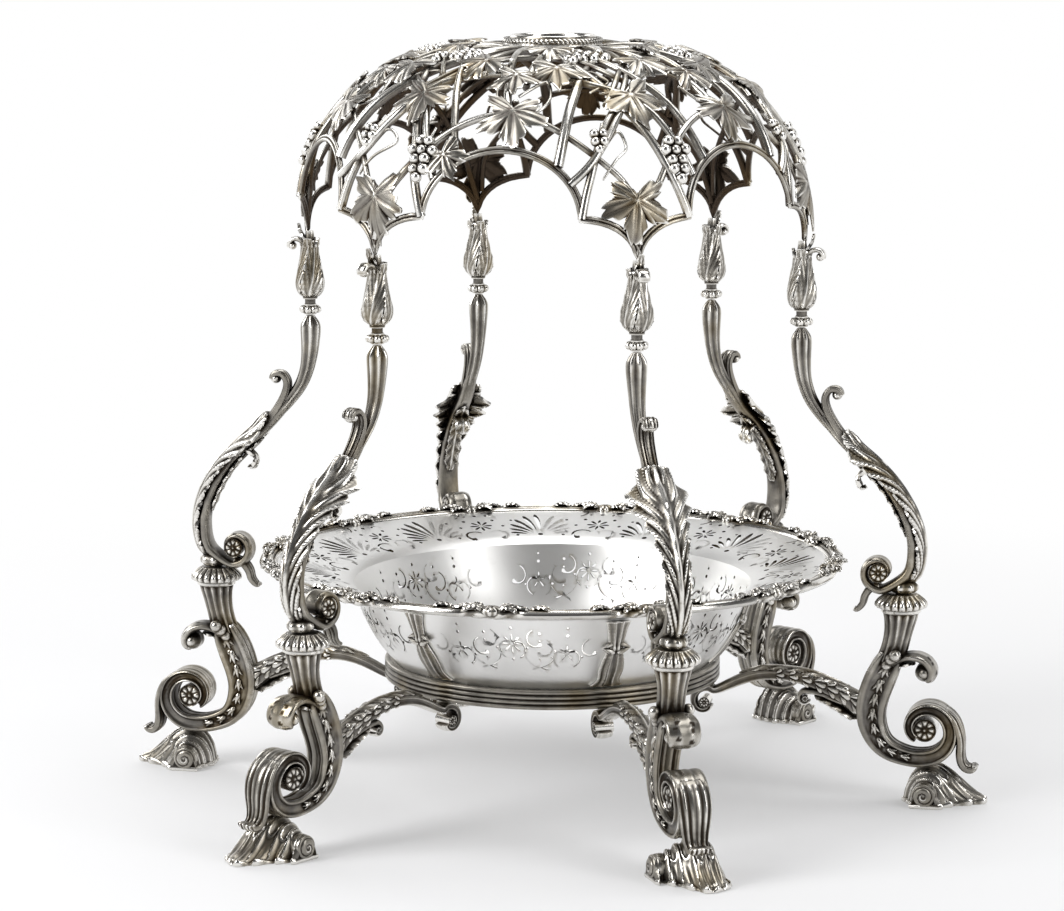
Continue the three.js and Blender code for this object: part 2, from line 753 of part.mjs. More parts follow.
// A bunch of grapes that hangs over the trellis, in rows that narrow to one
function grapeBunch(angle, height) {
  const rows = [2, 1];
  const step = berryRadius * 1.5;
  const drop = berryRadius * 1.25;
  const berries = rows.flatMap((count, row) =>
    Array.from({ length: count }, (_, i) => {
      const across = (i - (count - 1) / 2) * step;
      const turn = angle + THREE.MathUtils.radToDeg(across / onDome(0, height).x);
      const at = onDome(turn, height + (1 - row) * drop, ribHalfDepth + seatGap + berryRadius * 0.8);
      return solidOf(new THREE.IcosahedronGeometry(berryRadius, 0).translate(at.x, at.y, at.z));
    }),
  );
  return join(berries);
}

const centerpiece = new THREE.Group();

function atColumn(mesh, k) {
  const place = new THREE.Group();
  place.rotation.z = radians(k * pitch);
  place.add(mesh);
  centerpiece.add(place);
}

// The spires of the shells on one half of the stand point the other way from those on the other half.
const shells = { right: shellFoot(-1), left: shellFoot(1) };
const leg = legCasting();
const arm = bowlArm();
const cap = gadroonedCap();
const upright = scrolledUpright();
const baluster = leafyBaluster();

centerpiece.add(meshOf("support_ring", reededRing(), castSilver));
for (let k = 0; k < columnCount; k++) {
  const half = Math.cos(radians(k * pitch)) > 0 ? "right" : "left";
  atColumn(meshOf(`shell_foot_${k + 1}`, shells[half], castSilver), k);
  atColumn(meshOf(`leg_${k + 1}`, leg, castSilver), k);
  atColumn(meshOf(`arm_${k + 1}`, arm, castSilver), k);
  atColumn(meshOf(`socket_cap_${k + 1}`, cap, castSilver), k);
  atColumn(meshOf(`upright_${k + 1}`, upright, castSilver), k);
  atColumn(meshOf(`baluster_${k + 1}`, baluster, castSilver), k);
}

centerpiece.add(meshOf("bowl", dishedBowl(), sheetSilver));
centerpiece.add(meshOf("bowl_border", castBorder(), castSilver));

centerpiece.add(meshOf("canopy_trellis", vineTrellis(), vineSilver));
centerpiece.add(meshOf("top_ring", ropedRing(), castSilver));
for (let k = 0; k < columnCount; k++) {
  const angle = k * pitch;
  const spandrelLeaf = vineLeaf(angle, spandrelLeafHeight, 0.1);
  const bayLeaf = vineLeaf(angle + pitch / 2, vineArchTop + bayLeafRise, -0.2);
  const grapes = grapeBunch(angle + cuspAngle, grapeHeight);
  centerpiece.add(meshOf(`spandrel_leaf_${k + 1}`, spandrelLeaf, vineSilver));
  centerpiece.add(meshOf(`bay_leaf_${k + 1}`, bayLeaf, vineSilver));
  centerpiece.add(meshOf(`grape_bunch_${k + 1}`, grapes, vineSilver));
}

export default centerpiece;
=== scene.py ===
import bpy
import random
from math import acos, asin, atan2, copysign, cos, degrees, dist, exp, hypot, pi, radians, sin, sqrt, tau
from mathutils import Matrix, Vector
from mathutils.bvhtree import BVHTree


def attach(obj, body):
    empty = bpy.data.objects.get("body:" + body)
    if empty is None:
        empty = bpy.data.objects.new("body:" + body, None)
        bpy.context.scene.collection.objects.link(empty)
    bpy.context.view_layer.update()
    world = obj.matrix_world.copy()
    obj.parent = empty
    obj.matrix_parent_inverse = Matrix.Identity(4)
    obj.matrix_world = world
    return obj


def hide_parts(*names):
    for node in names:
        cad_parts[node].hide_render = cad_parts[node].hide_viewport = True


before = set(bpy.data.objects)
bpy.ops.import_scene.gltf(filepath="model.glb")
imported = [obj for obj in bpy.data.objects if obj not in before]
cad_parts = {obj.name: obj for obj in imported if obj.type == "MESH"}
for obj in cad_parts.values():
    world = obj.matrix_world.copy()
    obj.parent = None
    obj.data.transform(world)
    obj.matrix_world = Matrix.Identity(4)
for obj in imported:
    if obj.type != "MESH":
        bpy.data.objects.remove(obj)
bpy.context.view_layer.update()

# --- Table and light ---
# The centerpiece stands on a seamless sheet of white paper, laid flat, with four soft boxes on stands
# round it. Above the white horizon the room is dark, so the silver mirrors both light and shade.
MM = 0.001
# The paper glows where no shadow falls.
SHEET_SIZE, SHADOW_NEAR, SHADOW_FAR, LEAST_GLOW = 60, 0.38, 1.05, 0.25
PAPER_WHITE, PAPER_ROUGHNESS, PAPER_SHEEN = (0.83, 0.83, 0.84, 1), 0.8, 0.2
# How light the room is, from the horizon up.
ROOM = [(0.0, 1), (0.06, 0.8), (0.22, 0.2), (0.45, 0.06), (0.8, 0.07), (1.0, 0.35)]
BACK_WALL_DROP = -0.5  # how much darker the room is behind than in front
LOOK_AT = Vector((0, 0, 0.2))
CAMERA_PLACE, CAMERA_TILT, CAMERA_TURN, LENS, SENSOR = (0.464, -2.2528, 0.574), 80.98, 11.955, 126.7, 36


def begin():
    """Leaves edit mode and deselects everything, ready for the next piece."""
    if bpy.context.object and bpy.context.object.mode != "OBJECT":
        bpy.ops.object.mode_set(mode="OBJECT")
    bpy.ops.object.select_all(action="DESELECT")


def node(tree, kind, values=None, **settings):
    """Adds a shader node with its settings, and sets or links the inputs that are given."""
    made = tree.nodes.new(kind)
    for key, value in settings.items():
        setattr(made, key, value)
    for key, value in (values or {}).items():
        if isinstance(value, bpy.types.NodeSocket):
            tree.links.new(value, made.inputs[key])
        else:
            made.inputs[key].default_value = value
    return made


def maths(tree, operation, *values, clamp=False):
    """The result of one sum in a material."""
    return node(tree, "ShaderNodeMath", dict(enumerate(values)), operation=operation,
                use_clamp=clamp).outputs[0]


def spread(tree, value, low, high, start=0, end=1, **settings):
    """Spreads a value that lies between low and high over another range."""
    return node(tree, "ShaderNodeMapRange", {0: value, 1: low, 2: high, 3: start, 4: end},
                **settings).outputs[0]


def ramp(tree, amount, stops):
    """A colour ramp through stops of (place, colour)."""
    made = node(tree, "ShaderNodeValToRGB", {"Fac": amount})
    while len(made.color_ramp.elements) < len(stops):
        made.color_ramp.elements.new(0.5)
    for element, (place, colour) in zip(made.color_ramp.elements, stops):
        element.position = place
        element.color = (*colour, 1)
    return made.outputs["Color"]


begin()
bpy.ops.mesh.primitive_plane_add(size=SHEET_SIZE)
sheet = bpy.context.object
sheet.name = "table_sheet"
paper = bpy.data.materials.new("pale_paper")
paper.use_nodes = True
tree = paper.node_tree
card = tree.nodes["Principled BSDF"]
card.inputs["Base Color"].default_value = PAPER_WHITE
card.inputs["Roughness"].default_value = PAPER_ROUGHNESS
card.inputs["Specular IOR Level"].default_value = PAPER_SHEEN
spot = node(tree, "ShaderNodeTexCoord").outputs["Object"]
away = node(tree, "ShaderNodeVectorMath", {0: spot}, operation="LENGTH").outputs["Value"]
away = spread(tree, away, SHADOW_NEAR, SHADOW_FAR, LEAST_GLOW, interpolation_type="SMOOTHSTEP")
path = node(tree, "ShaderNodeLightPath").outputs
shown = maths(tree, "ADD", path["Is Camera Ray"], path["Is Glossy Ray"])
shown = maths(tree, "ADD", shown, path["Is Transmission Ray"], clamp=True)
shown = maths(tree, "MULTIPLY", shown, away)
white = node(tree, "ShaderNodeEmission", {"Strength": 1})
mixed = node(tree, "ShaderNodeMixShader", {0: shown, 1: card.outputs[0], 2: white.outputs[0]})
tree.links.new(mixed.outputs[0], tree.nodes["Material Output"].inputs["Surface"])
sheet.data.materials.append(paper)

sky = bpy.data.worlds.new("white_cove")
sky.use_nodes = True
bpy.context.scene.world = sky
tree = sky.node_tree
aim = node(tree, "ShaderNodeTexCoord")
height = node(tree, "ShaderNodeSeparateXYZ", {0: aim.outputs["Generated"]}).outputs
sweep = maths(tree, "MULTIPLY_ADD", maths(tree, "MAXIMUM", height["Y"], 0), BACK_WALL_DROP, height["Z"])
shade = ramp(tree, sweep, [(place, (light, light, light)) for place, light in ROOM])
tree.links.new(shade, tree.nodes["Background"].inputs["Color"])


def lamp(name, place, size, watts):
    """A soft box that faces the middle of the centerpiece."""
    bpy.ops.object.light_add(type="AREA", location=place)
    light = bpy.context.object
    light.name = name
    light.data.shape = "RECTANGLE"
    light.data.size, light.data.size_y = size
    light.data.energy = watts
    light.rotation_euler = (LOOK_AT - Vector(place)).to_track_quat("-Z", "Y").to_euler()


begin()
lamp("soft_box_left", (-1.6, -1.3, 1.7), (1.3, 1.8), 47)
lamp("soft_box_right", (1.9, -0.9, 1.3), (0.7, 1.8), 15)
lamp("soft_box_over", (0.2, 0.5, 2.2), (2.2, 1.4), 29)
lamp("soft_box_back", (-2, 1.4, 1.1), (1.4, 0.9), 12)

bpy.ops.object.camera_add(location=CAMERA_PLACE)
camera = bpy.context.object
camera.rotation_euler = (radians(CAMERA_TILT), 0, radians(CAMERA_TURN))
camera.data.sensor_width = SENSOR
camera.data.lens = LENS
camera.data.clip_end = SHEET_SIZE / 2
bpy.context.scene.camera = camera
bpy.context.scene.view_settings.view_transform = "Standard"

# --- Legs ---
# Each leg is one casting of silver, chased by hand: a fluted socket over a C-scroll whose foot turns
# into a volute with a rosette in its eye. A leaf curls out in front, and another laps onto the shell.
TURN = 60
SOCKET_X = 218.5
VOLUTE_X, VOLUTE_Z, VOLUTE_STEPS, VOLUTE_SWELL = 235, 47.1, 17, 2.6
KNOB_X, KNOB_Z, KNOB_R, KNOB_HALF = 233.8, 82.2, 6.2, 10.4
# DEEP is the silver's patina together with painted shade, as it shows in the hollows.
PALE, DEEP = (0.83, 0.81, 0.77), (0.045, 0.036, 0.027)  # silver where it is rubbed, and in its hollows
BLOTCHES, STAINS, GRAIN = 70, 26, 420  # how fine each of them is on the silver


def through(stations, steps):
    """Smooth stations between the given ones, as a draughtsman's curve runs."""
    last = len(stations) - 1
    line = []
    for i in range(last):
        a, b, c, d = (stations[max(0, min(last, i + j))] for j in (-1, 0, 1, 2))
        for s in range(steps):
            t = s / steps
            line.append([0.5 * (2 * q + (r - p) * t + (2 * p - 5 * q + 4 * r - w) * t * t
                                + (3 * q - p - 3 * r + w) * t ** 3) for p, q, r, w in zip(a, b, c, d)])
    return line + [list(stations[last])]


def headings(line):
    """Which way a line of x, z stations runs at each of them, in radians from +X towards +Z."""
    last = len(line) - 1
    ends = [(line[max(0, i - 1)], line[min(last, i + 1)]) for i in range(last + 1)]
    return [atan2(b[1] - a[1], b[0] - a[0]) for a, b in ends]


def swing(a, b):
    """The turn from one heading to another, the short way round."""
    return (b - a + pi) % tau - pi


def face_out():
    """Turns every face of the piece in hand outward."""
    bpy.ops.object.mode_set(mode="EDIT")
    bpy.ops.mesh.select_all(action="SELECT")
    bpy.ops.mesh.normals_make_consistent(inside=False)
    bpy.ops.object.mode_set(mode="OBJECT")


def ring_of(places, fill="NGON"):
    """A ring of points at places in mm, as one face unless it is left open."""
    begin()
    bpy.ops.mesh.primitive_circle_add(vertices=len(places), radius=MM, fill_type=fill)
    piece = bpy.context.object
    for vertex, place in zip(piece.data.vertices, places):
        vertex.co = Vector(place) * MM
    return piece


def draw_out(line, section):
    """Draws a section out through stations of x, z, half thickness and half width, in the plane of a
    leg. The section is a ring of (out, across), where out is to the right of the way it runs."""
    ways = headings(line)
    x, z, thick, wide = line[0]
    out = Vector((sin(ways[0]), 0, -cos(ways[0])))
    piece = ring_of([Vector((x, b * wide, z)) + out * a * thick for a, b in section])
    bpy.ops.object.mode_set(mode="EDIT")
    bpy.ops.mesh.select_all(action="SELECT")
    for i, ((x0, z0, t0, w0), (x1, z1, t1, w1)) in enumerate(zip(line, line[1:])):
        middle = (x1 * MM, 0, z1 * MM)
        bpy.ops.mesh.extrude_region_move(
            TRANSFORM_OT_translate={"value": ((x1 - x0) * MM, 0, (z1 - z0) * MM)})
        bend = swing(ways[i], ways[i + 1])
        bpy.ops.transform.rotate(value=bend, orient_axis="Y", center_override=middle)
        bpy.ops.transform.resize(value=(t1 / t0, w1 / w0, t1 / t0), center_override=middle)
    face_out()
    return piece


def spiral(x, z, reach, angles, thick, wide, steps):
    """Stations round a volute's eye, with each value given at its start and its end."""
    line = []
    for i in range(steps + 1):
        u = i / steps
        r, turn, t, w = (a + (b - a) * u for a, b in (reach, angles, thick, wide))
        turn = radians(turn)
        line.append([x + r * cos(turn), z + r * sin(turn), t, w])
    return line


def oval(count, square=2.0):
    """A ring of points round an oval, squarer as its power grows."""
    ring = []
    for j in range(count):
        c, s = cos((j + 0.5) / count * tau), sin((j + 0.5) / count * tau)
        ring.append((copysign(abs(c) ** (2 / square), c), copysign(abs(s) ** (2 / square), s)))
    return ring


def fluted(count, depth):
    """A round section with that many flutes between rounded ribs, four points to each."""
    ring = []
    for j in range(4 * count):
        turn = j / (4 * count) * tau
        r = 1 - depth * (0, 0.5, 1, 0.5)[j % 4]
        ring.append((r * cos(turn), r * sin(turn)))
    return ring


def modify(piece, kind, **settings):
    """Puts a modifier on a piece and applies it."""
    bpy.context.view_layer.objects.active = piece
    work = piece.modifiers.new(kind.lower(), kind)
    for key, value in settings.items():
        setattr(work, key, value)
    bpy.ops.object.modifier_apply(modifier=work.name)


def smooth(*pieces):
    """Rounds pieces over with one level of applied subdivision."""
    for piece in pieces:
        modify(piece, "SUBSURF", levels=1, render_levels=1)


def move_points(piece, rule):
    """Works a piece over point by point, and gives it back. The rule takes a place in mm to a new one."""
    for vertex in piece.data.vertices:
        vertex.co = Vector(rule(vertex.co / MM)) * MM
    return piece


def lay_sheet(cells, across, rule):
    """Lays a sheet by a rule that takes the share along it, 0 to 1, and across it, -1 to 1."""
    begin()
    bpy.ops.mesh.primitive_grid_add(x_subdivisions=cells, y_subdivisions=across, size=2)
    return move_points(bpy.context.object, lambda p: rule((p.x * MM + 1) / 2, p.y * MM))


def thicken(piece, thick):
    """Gives a sheet its faces outward and a thickness in mm, half to each side."""
    face_out()
    modify(piece, "SOLIDIFY", thickness=thick * MM, offset=0)
    return piece


def find(stops, value):
    """Which stop ends the stretch that a value lies in, and the value's share of that stretch."""
    i = max(1, next((j for j, stop in enumerate(stops) if stop >= value), len(stops) - 1))
    return i, (value - stops[i - 1]) / max(1e-6, stops[i] - stops[i - 1])


def bump(off, width):
    """A round swelling: 1 where off is nothing, and next to nothing from two widths away."""
    return exp(-(off / width) ** 2)


def leaf(spine, half_width, lobes, notch=0.35, slant=0.5, puff=0.5, ridge=0.6, curl=0.0, thick=1.1,
         cells=None, tip=0.12, root=0.06, teeth=0.0, across=14, wrap=0.0):
    """A cast acanthus leaf that lies along a spine of x, z stations in a leg's plane, face to the
    right of the way it runs. Its edges are cut into lobes that point to the tip, each lobe is puffed
    between its veins, and a ridge runs up the middle. With wrap, what is wider bends backward."""
    line = through(spine, 8)
    ways = headings(line)
    lengths = [0]
    for a, b in zip(line, line[1:]):
        lengths.append(lengths[-1] + dist(a, b))

    def lay(u, v):
        side = abs(v)
        beat = u * lobes - slant * side
        swell = abs(sin(pi * beat)) ** 0.7
        fade = max(root, min(1, u / 0.08)) * min(1, (1 - u) / tip) ** 0.6
        cut = notch * (1 - swell) * side ** 2 + teeth * abs(cos(pi * beat * 3)) * side ** 3
        wide = half_width(u) * max(0.06, fade) * (1 - cut)
        i, t = find(lengths, min(1, max(0, u + slant * 0.35 / lobes * side ** 1.5)) * lengths[-1])
        (x0, z0), (x1, z1) = line[i - 1], line[i]
        way = ways[i - 1] + swing(ways[i - 1], ways[i]) * t
        up = puff * (swell - 0.6) * min(1, 3 * side) + ridge * bump(v, 0.13) + curl * side ** 2.2
        up += 0.25 * puff * cos(tau * beat * 2) * side
        up = up * fade - wrap * max(0, wide * side - 6) * side
        return x0 + (x1 - x0) * t + up * sin(way), v * wide, z0 + (z1 - z0) * t - up * cos(way)

    return thicken(lay_sheet(cells or lobes * 6, across, lay), thick)


def rosette(x, z, radius, half_width, petals=8, proud=1.2):
    """A round boss through a volute's eye, with a flower chased in both ends."""
    begin()
    bpy.ops.mesh.primitive_cylinder_add(vertices=petals * 6, radius=radius * MM, depth=2 * half_width * MM,
                                        end_fill_type="NGON", location=(x * MM, 0, z * MM),
                                        rotation=(pi / 2, 0, 0))
    piece = bpy.context.object
    bpy.ops.object.transform_apply()
    bpy.ops.object.mode_set(mode="EDIT")
    bpy.ops.mesh.select_mode(type="FACE")
    bpy.ops.mesh.select_all(action="DESELECT")
    bpy.ops.object.mode_set(mode="OBJECT")
    for face in piece.data.polygons:
        face.select = abs(face.normal.y) > 0.9
    bpy.ops.object.mode_set(mode="EDIT")
    for share in (0.12, 0.2, 0.2, 0.2, 0.12):
        bpy.ops.mesh.inset(thickness=share * radius * MM)
    bpy.ops.mesh.poke()
    bpy.ops.mesh.select_mode(type="VERT")
    bpy.ops.object.mode_set(mode="OBJECT")

    def chase(p):
        across, up = p.x - x, p.z - z
        r = hypot(across, up) / radius
        if abs(abs(p.y) - half_width) > 0.01 or r > 0.97:
            return p
        petal = abs(cos(atan2(up, across) * petals / 2))
        lift = proud * (petal * bump(r - 0.58, 0.24) + 1.3 * bump(r, 0.2))
        sunk = 1.1 * proud if 0.1 < r < 0.9 else (0 if r >= 0.9 else 0.4)
        return p.x, copysign(half_width - sunk + lift, p.y), p.z

    return move_points(piece, chase)


def join(name, parts):
    """Makes one piece of several."""
    begin()
    for part in parts:
        part.select_set(True)
    bpy.context.view_layer.objects.active = parts[0]
    bpy.ops.object.join()
    piece = bpy.context.object
    piece.name = piece.data.name = name
    return piece


# The rays that feel for hollows start a little off the metal, and glancing ones don't count.
RAY_COUNT, RAY_TURN, RAY_START, GLANCING, KEENEST = 30, 2.4, 0.15, 0.15, 0.35
RAYS = []
for i in range(RAY_COUNT):
    up = 1 - (2 * i + 1) / RAY_COUNT
    RAYS.append(Vector((cos(RAY_TURN * i) * sqrt(1 - up * up), sin(RAY_TURN * i) * sqrt(1 - up * up), up)))


def darken_hollows(piece, reach=9, strength=1.5, extra=None, ground=0.42, rubbed=2.1):
    """Marks how dark each point is: painted shade in its hollows, where nearby metal hides it, along with the
    patina that the polishing cloth doesn't reach there, while the cloth rubs its crests bright. The ground is
    how dark a flat is, and the reach is how far a hollow may be across, in mm."""
    mesh = piece.data
    shape = BVHTree.FromPolygons([v.co for v in mesh.vertices], [f.vertices for f in mesh.polygons])
    mark = mesh.attributes.new("patina_and_shade", "FLOAT", "POINT")
    crest, long = [0.0] * len(mesh.vertices), [1e-9] * len(mesh.vertices)
    for edge in mesh.edges:
        a, b = edge.vertices
        way = mesh.vertices[b].co - mesh.vertices[a].co
        for i, sign in ((a, -1), (b, 1)):
            crest[i] += sign * way.dot(mesh.vertices[i].normal)
            long[i] += way.length
    for vertex in mesh.vertices:
        normal, start = vertex.normal, vertex.co + vertex.normal * RAY_START * MM
        seen = hidden = 0.0
        for ray in RAYS:
            lean = ray.dot(normal)
            if lean > GLANCING:
                seen += lean
                far = shape.ray_cast(start, ray, reach * MM)[3]
                if far is not None:
                    hidden += lean * (1 - 0.6 * far / (reach * MM))
        keen = max(-KEENEST, min(KEENEST, crest[vertex.index] / long[vertex.index]))
        # The hidden share is painted shade, with patina, from the metal round the point.
        amount = ground + strength * hidden / max(seen, 0.01) - rubbed * keen
        if extra:
            amount += extra(vertex.co / MM, normal)
        mark.data[vertex.index].value = max(0, min(1, amount))


def silver(name, bright, dark, smoothness, mottle=0.3, dents=0.25, sawn_edge_shade=False):
    """Silver that is bright where it is rubbed, dark brown-grey with patina and painted shade in its hollows,
    and dark with painted shade on its sawn edges.
    """
    finish = bpy.data.materials.new(name)
    finish.use_nodes = True
    tree = finish.node_tree
    metal = tree.nodes["Principled BSDF"]
    metal.inputs["Metallic"].default_value = 1
    place = node(tree, "ShaderNodeTexCoord").outputs["Object"]

    def cloud(scale, detail, roughness=0.5):
        return node(tree, "ShaderNodeTexNoise", {"Vector": place, "Scale": scale, "Detail": detail,
                                                 "Roughness": roughness}).outputs["Fac"]

    def marks(attribute):
        return node(tree, "ShaderNodeAttribute", attribute_name=attribute).outputs["Fac"]

    blotches = cloud(BLOTCHES, 4, 0.6)
    drift = maths(tree, "MULTIPLY", maths(tree, "SUBTRACT", blotches, 0.5), 2 * mottle)
    # The mark holds painted shade and patina in the hollows, and the rubbed crests.
    amount = maths(tree, "ADD", marks("patina_and_shade"), drift)
    if sawn_edge_shade:
        # Painted shade on the sawn walls of the piercings.
        amount = maths(tree, "ADD", marks("sawn_edge_shade"), amount)
    amount = spread(tree, amount, 0.08, 0.85)
    middle = [0.4 * b * warmth for b, warmth in zip(bright, (1.04, 1, 0.92))]
    deep = [0.16 * b + 0.7 * d for b, d in zip(bright, dark)]
    tone = ramp(tree, amount, [(0.0, bright), (0.32, middle), (0.66, deep), (1.0, dark)])
    stain = maths(tree, "MULTIPLY", spread(tree, cloud(STAINS, 3), 0.5, 0.68), amount)
    stain = maths(tree, "MULTIPLY", stain, 1.5, clamp=True)
    warm = node(tree, "ShaderNodeMix", {0: stain, 6: tone, 7: (1, 0.87, 0.62, 1)}, data_type="RGBA",
                blend_type="MULTIPLY")
    tree.links.new(warm.outputs[2], metal.inputs["Base Color"])
    tree.links.new(spread(tree, amount, 0, 1, smoothness, 0.5), metal.inputs["Roughness"])
    bumps = node(tree, "ShaderNodeBump", {"Strength": dents, "Distance": 0.0006, "Height": blotches})
    bumps = node(tree, "ShaderNodeBump", {"Strength": 0.12, "Distance": 0.0002, "Height": cloud(GRAIN, 3),
                                          "Normal": bumps.outputs["Normal"]})
    tree.links.new(bumps.outputs["Normal"], metal.inputs["Normal"])
    return finish


cast_silver = silver("cast_silver", PALE, DEEP, 0.19)


def finish_piece(piece, finish, sharp=38):
    """Gives a piece its silver, and soft shading that keeps its crisp edges."""
    begin()
    piece.select_set(True)
    bpy.context.view_layer.objects.active = piece
    bpy.ops.object.shade_smooth_by_angle(angle=radians(sharp))
    piece.data.materials.clear()
    piece.data.materials.append(finish)


TWIN = Matrix.Scale(-1, 4, (0, 1, 0))


def spun(angle, x=0):
    """A turn of so many degrees round an upright axis that stands x mm out."""
    there = Matrix.Translation((x * MM, 0, 0))
    return there @ Matrix.Rotation(radians(angle), 4, "Z") @ there.inverted()


def copy_of(piece, place):
    """A copy of a piece in its place, with its own mesh."""
    copy = bpy.data.objects.new(piece.name, piece.data.copy())
    bpy.context.collection.objects.link(copy)
    copy.data.transform(place)
    return copy


def set_round(piece, name, body, node_name, mirrored=()):
    """Sets six copies round the axis, each for its own node. A mirrored one is the twin."""
    for k in range(6):
        copy = copy_of(piece, spun(k * TURN) @ (TWIN if k in mirrored else Matrix()))
        copy.name = f"{name}_{k + 1}"
        if k in mirrored:
            copy.data.flip_normals()
        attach(copy, body)
        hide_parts(f"{node_name}_{k + 1}")
    bpy.data.objects.remove(piece)


def ball(segments, rings, place=(0, 0, 0), radius=1, tilt=(0, 0, 0)):
    """A ball at a place in mm, with its poles tilted."""
    begin()
    bpy.ops.mesh.primitive_uv_sphere_add(segments=segments, ring_count=rings, radius=radius * MM,
                                         location=Vector(place) * MM, rotation=tilt)
    bpy.ops.object.transform_apply()
    return bpy.context.object


socket = draw_out(through([
    [218.5, 121.2, 11.5, 11.5], [218.3, 117, 11.2, 11.2], [217.8, 112, 9.9, 9.9], [216.6, 104, 8.8, 8.8],
    [214.6, 95, 8.6, 8.6], [211.5, 86, 9, 8.6]], 3), fluted(12, 0.19))
lip = draw_out([[SOCKET_X, z, r, r] for z, r in ((121.2, 11.4), (120.9, 12.1), (119.6, 12.3), (118.9, 11.6))],
               oval(32))
half_panel = [(1, 0.16), (0.94, 0.3), (0.84, 0.4), (0.94, 0.54), (1, 0.7), (0.95, 0.88), (0.8, 1), (0.6, 1),
              (0.48, 0.88), (0.4, 0.8), (0, 0.77), (-0.4, 0.8), (-0.5, 0.88), (-0.62, 1), (-0.8, 1),
              (-0.96, 0.9), (-1, 0.72), (-0.96, 0.6), (-0.84, 0.52), (-0.84, 0.42), (-0.96, 0.33), (-1, 0.18)]
panelled = [(0.9, 0)] + half_panel + [(-1, 0)] + [(a, -b) for a, b in half_panel[::-1]]
volute = spiral(VOLUTE_X, VOLUTE_Z, (18.4, 8.2), (-82, 232), (5.2, 2.6), (7.6, 8.4), VOLUTE_STEPS)
for i, station in enumerate(volute):
    station[3] += VOLUTE_SWELL * sin(pi * i / VOLUTE_STEPS) ** 0.8
scroll = draw_out(through(
    [[213.5, 93, 6.5, 6.5], [210.5, 86, 8.8, 8], [206.5, 77, 9.8, 8.2], [202.6, 66, 9.6, 8],
     [201, 56, 9, 7.8], [202.3, 47, 8.3, 7.6], [206.2, 38.5, 7.2, 7.4], [212.6, 32.6, 6.3, 7.3],
     [222, 29.2, 5.6, 7.3], [229.6, 28.1, 5.4, 7.3]] + volute, 2), panelled)
eye = rosette(VOLUTE_X, VOLUTE_Z, 7.2, 8.9)


def leaflet(x, z, way, side, across, long, half, proud):
    """A teardrop of silver on a leg's side, with its point along the way given in radians."""
    piece = ball(14, 9, tilt=(0, pi / 2, 0))
    move_points(piece, lambda p: (long * p.x, proud * p.y, half * p.z * (1 - 0.6 * p.x)))
    piece.data.transform(Matrix.Translation((x * MM, side * across * MM, z * MM))
                         @ Matrix.Rotation(-way, 4, "Y"))
    return piece


husk_line = through([[211, 86], [206.5, 74], [203.4, 62], [203, 50], [207.5, 38.5], [216.5, 31.5],
                     [227, 28.8]], 12)
husk_ways = headings(husk_line)
husks = []
for side in (-1, 1):
    for i in range(4, 71, 9):
        (x, z), way = husk_line[i], husk_ways[i]
        size = 1.15 - 0.006 * i
        husks.append(leaflet(x, z, way, side, 6.3, 4.6 * size, 1.7 * size, 1.9))
        for splay in (-0.55, 0.55):
            x1, z1 = x + 1.3 * size * cos(way + 2.6 * splay), z + 1.3 * size * sin(way + 2.6 * splay)
            husks.append(leaflet(x1, z1, way + splay, side, 6.1, 3.7 * size, 1.3 * size, 1.6))
cushion = [(a * (1 - 0.2 * abs(cos(1.5 * pi * b))) if a < 0 else a, b) for a, b in oval(28, 2.3)]
front_curl = draw_out(through([
    [206.5, 79.5, 3.2, 6.4], [212.5, 86.3, 3, 8], [220, 90.8, 2.8, 9], [228, 92, 3, 9.8],
    [234.6, 89.6, 3.4, 10.4], [238.2, 84.2, 4, 10.2], [237.4, 79.4, 4, 9.4], [234.4, 77.6, 2.6, 8]], 3),
    cushion)


def knob_point(p):
    """Stretches a ball across the leaf's curl and cuts grooves round it."""
    r = KNOB_R * (1 - 0.13 * abs(cos(4.5 * p.y)))
    return KNOB_X + r * p.x, KNOB_HALF * p.y, KNOB_Z + r * p.z


buds = [move_points(ball(36, 20, tilt=(pi / 2, 0, 0)), knob_point)]
for side in (-1, 1):
    for x, y, z, size in ((216.4, 10.4, 93.4, 3.7), (213.6, 8.2, 90.5, 3.6), (210.8, 6.4, 86.5, 3.4)):
        buds.append(ball(20, 12, (x, side * y, z), size))
throat = leaf([[205, 70], [211, 79.5], [219.5, 86], [227.5, 87.4]], lambda u: 7, 5, notch=0.3, puff=0.8,
              thick=1.6)
grooved = [(a * (1 - 0.5 * abs(cos(2.5 * pi * b)) ** 3), b) for a, b in oval(64, 3)]
lap = draw_out(through([
    [246.9, 59.9, 0.8, 9.4], [252.2, 55, 2, 10.1], [255.4, 47.6, 2.7, 10.3], [256.8, 39.5, 2.9, 9.5],
    [256.6, 32, 3, 8.2], [257.8, 26, 3, 7.2], [261, 22.9, 2.9, 6.9], [264.6, 23, 2.6, 6.7],
    [265.9, 25.4, 2.1, 6.5]], 3), grooved)
smooth(socket, scroll, front_curl, lap)
leg = join("leg", [scroll, socket, lip, eye, *husks, front_curl, throat, *buds, lap])
DRILL_R = 1.5
# Where the lap's flutes are: how far out, between which heights, and how its half width grows upward.
LAP_FROM, LAP_LOW, LAP_TOP, LAP_NARROW, LAP_WIDE, LAP_SPREAD = 251, 23, 58, 6.9, 10.3, 0.138
drilled = [(239.6, 4.5, 86.5), (240.6, -4.5, 82.5), (237.5, 5, 90.5), (241.5, 3.5, 80), (236.6, -4, 91.5),
           (230, 4, 95), (238.5, -5.5, 88)]


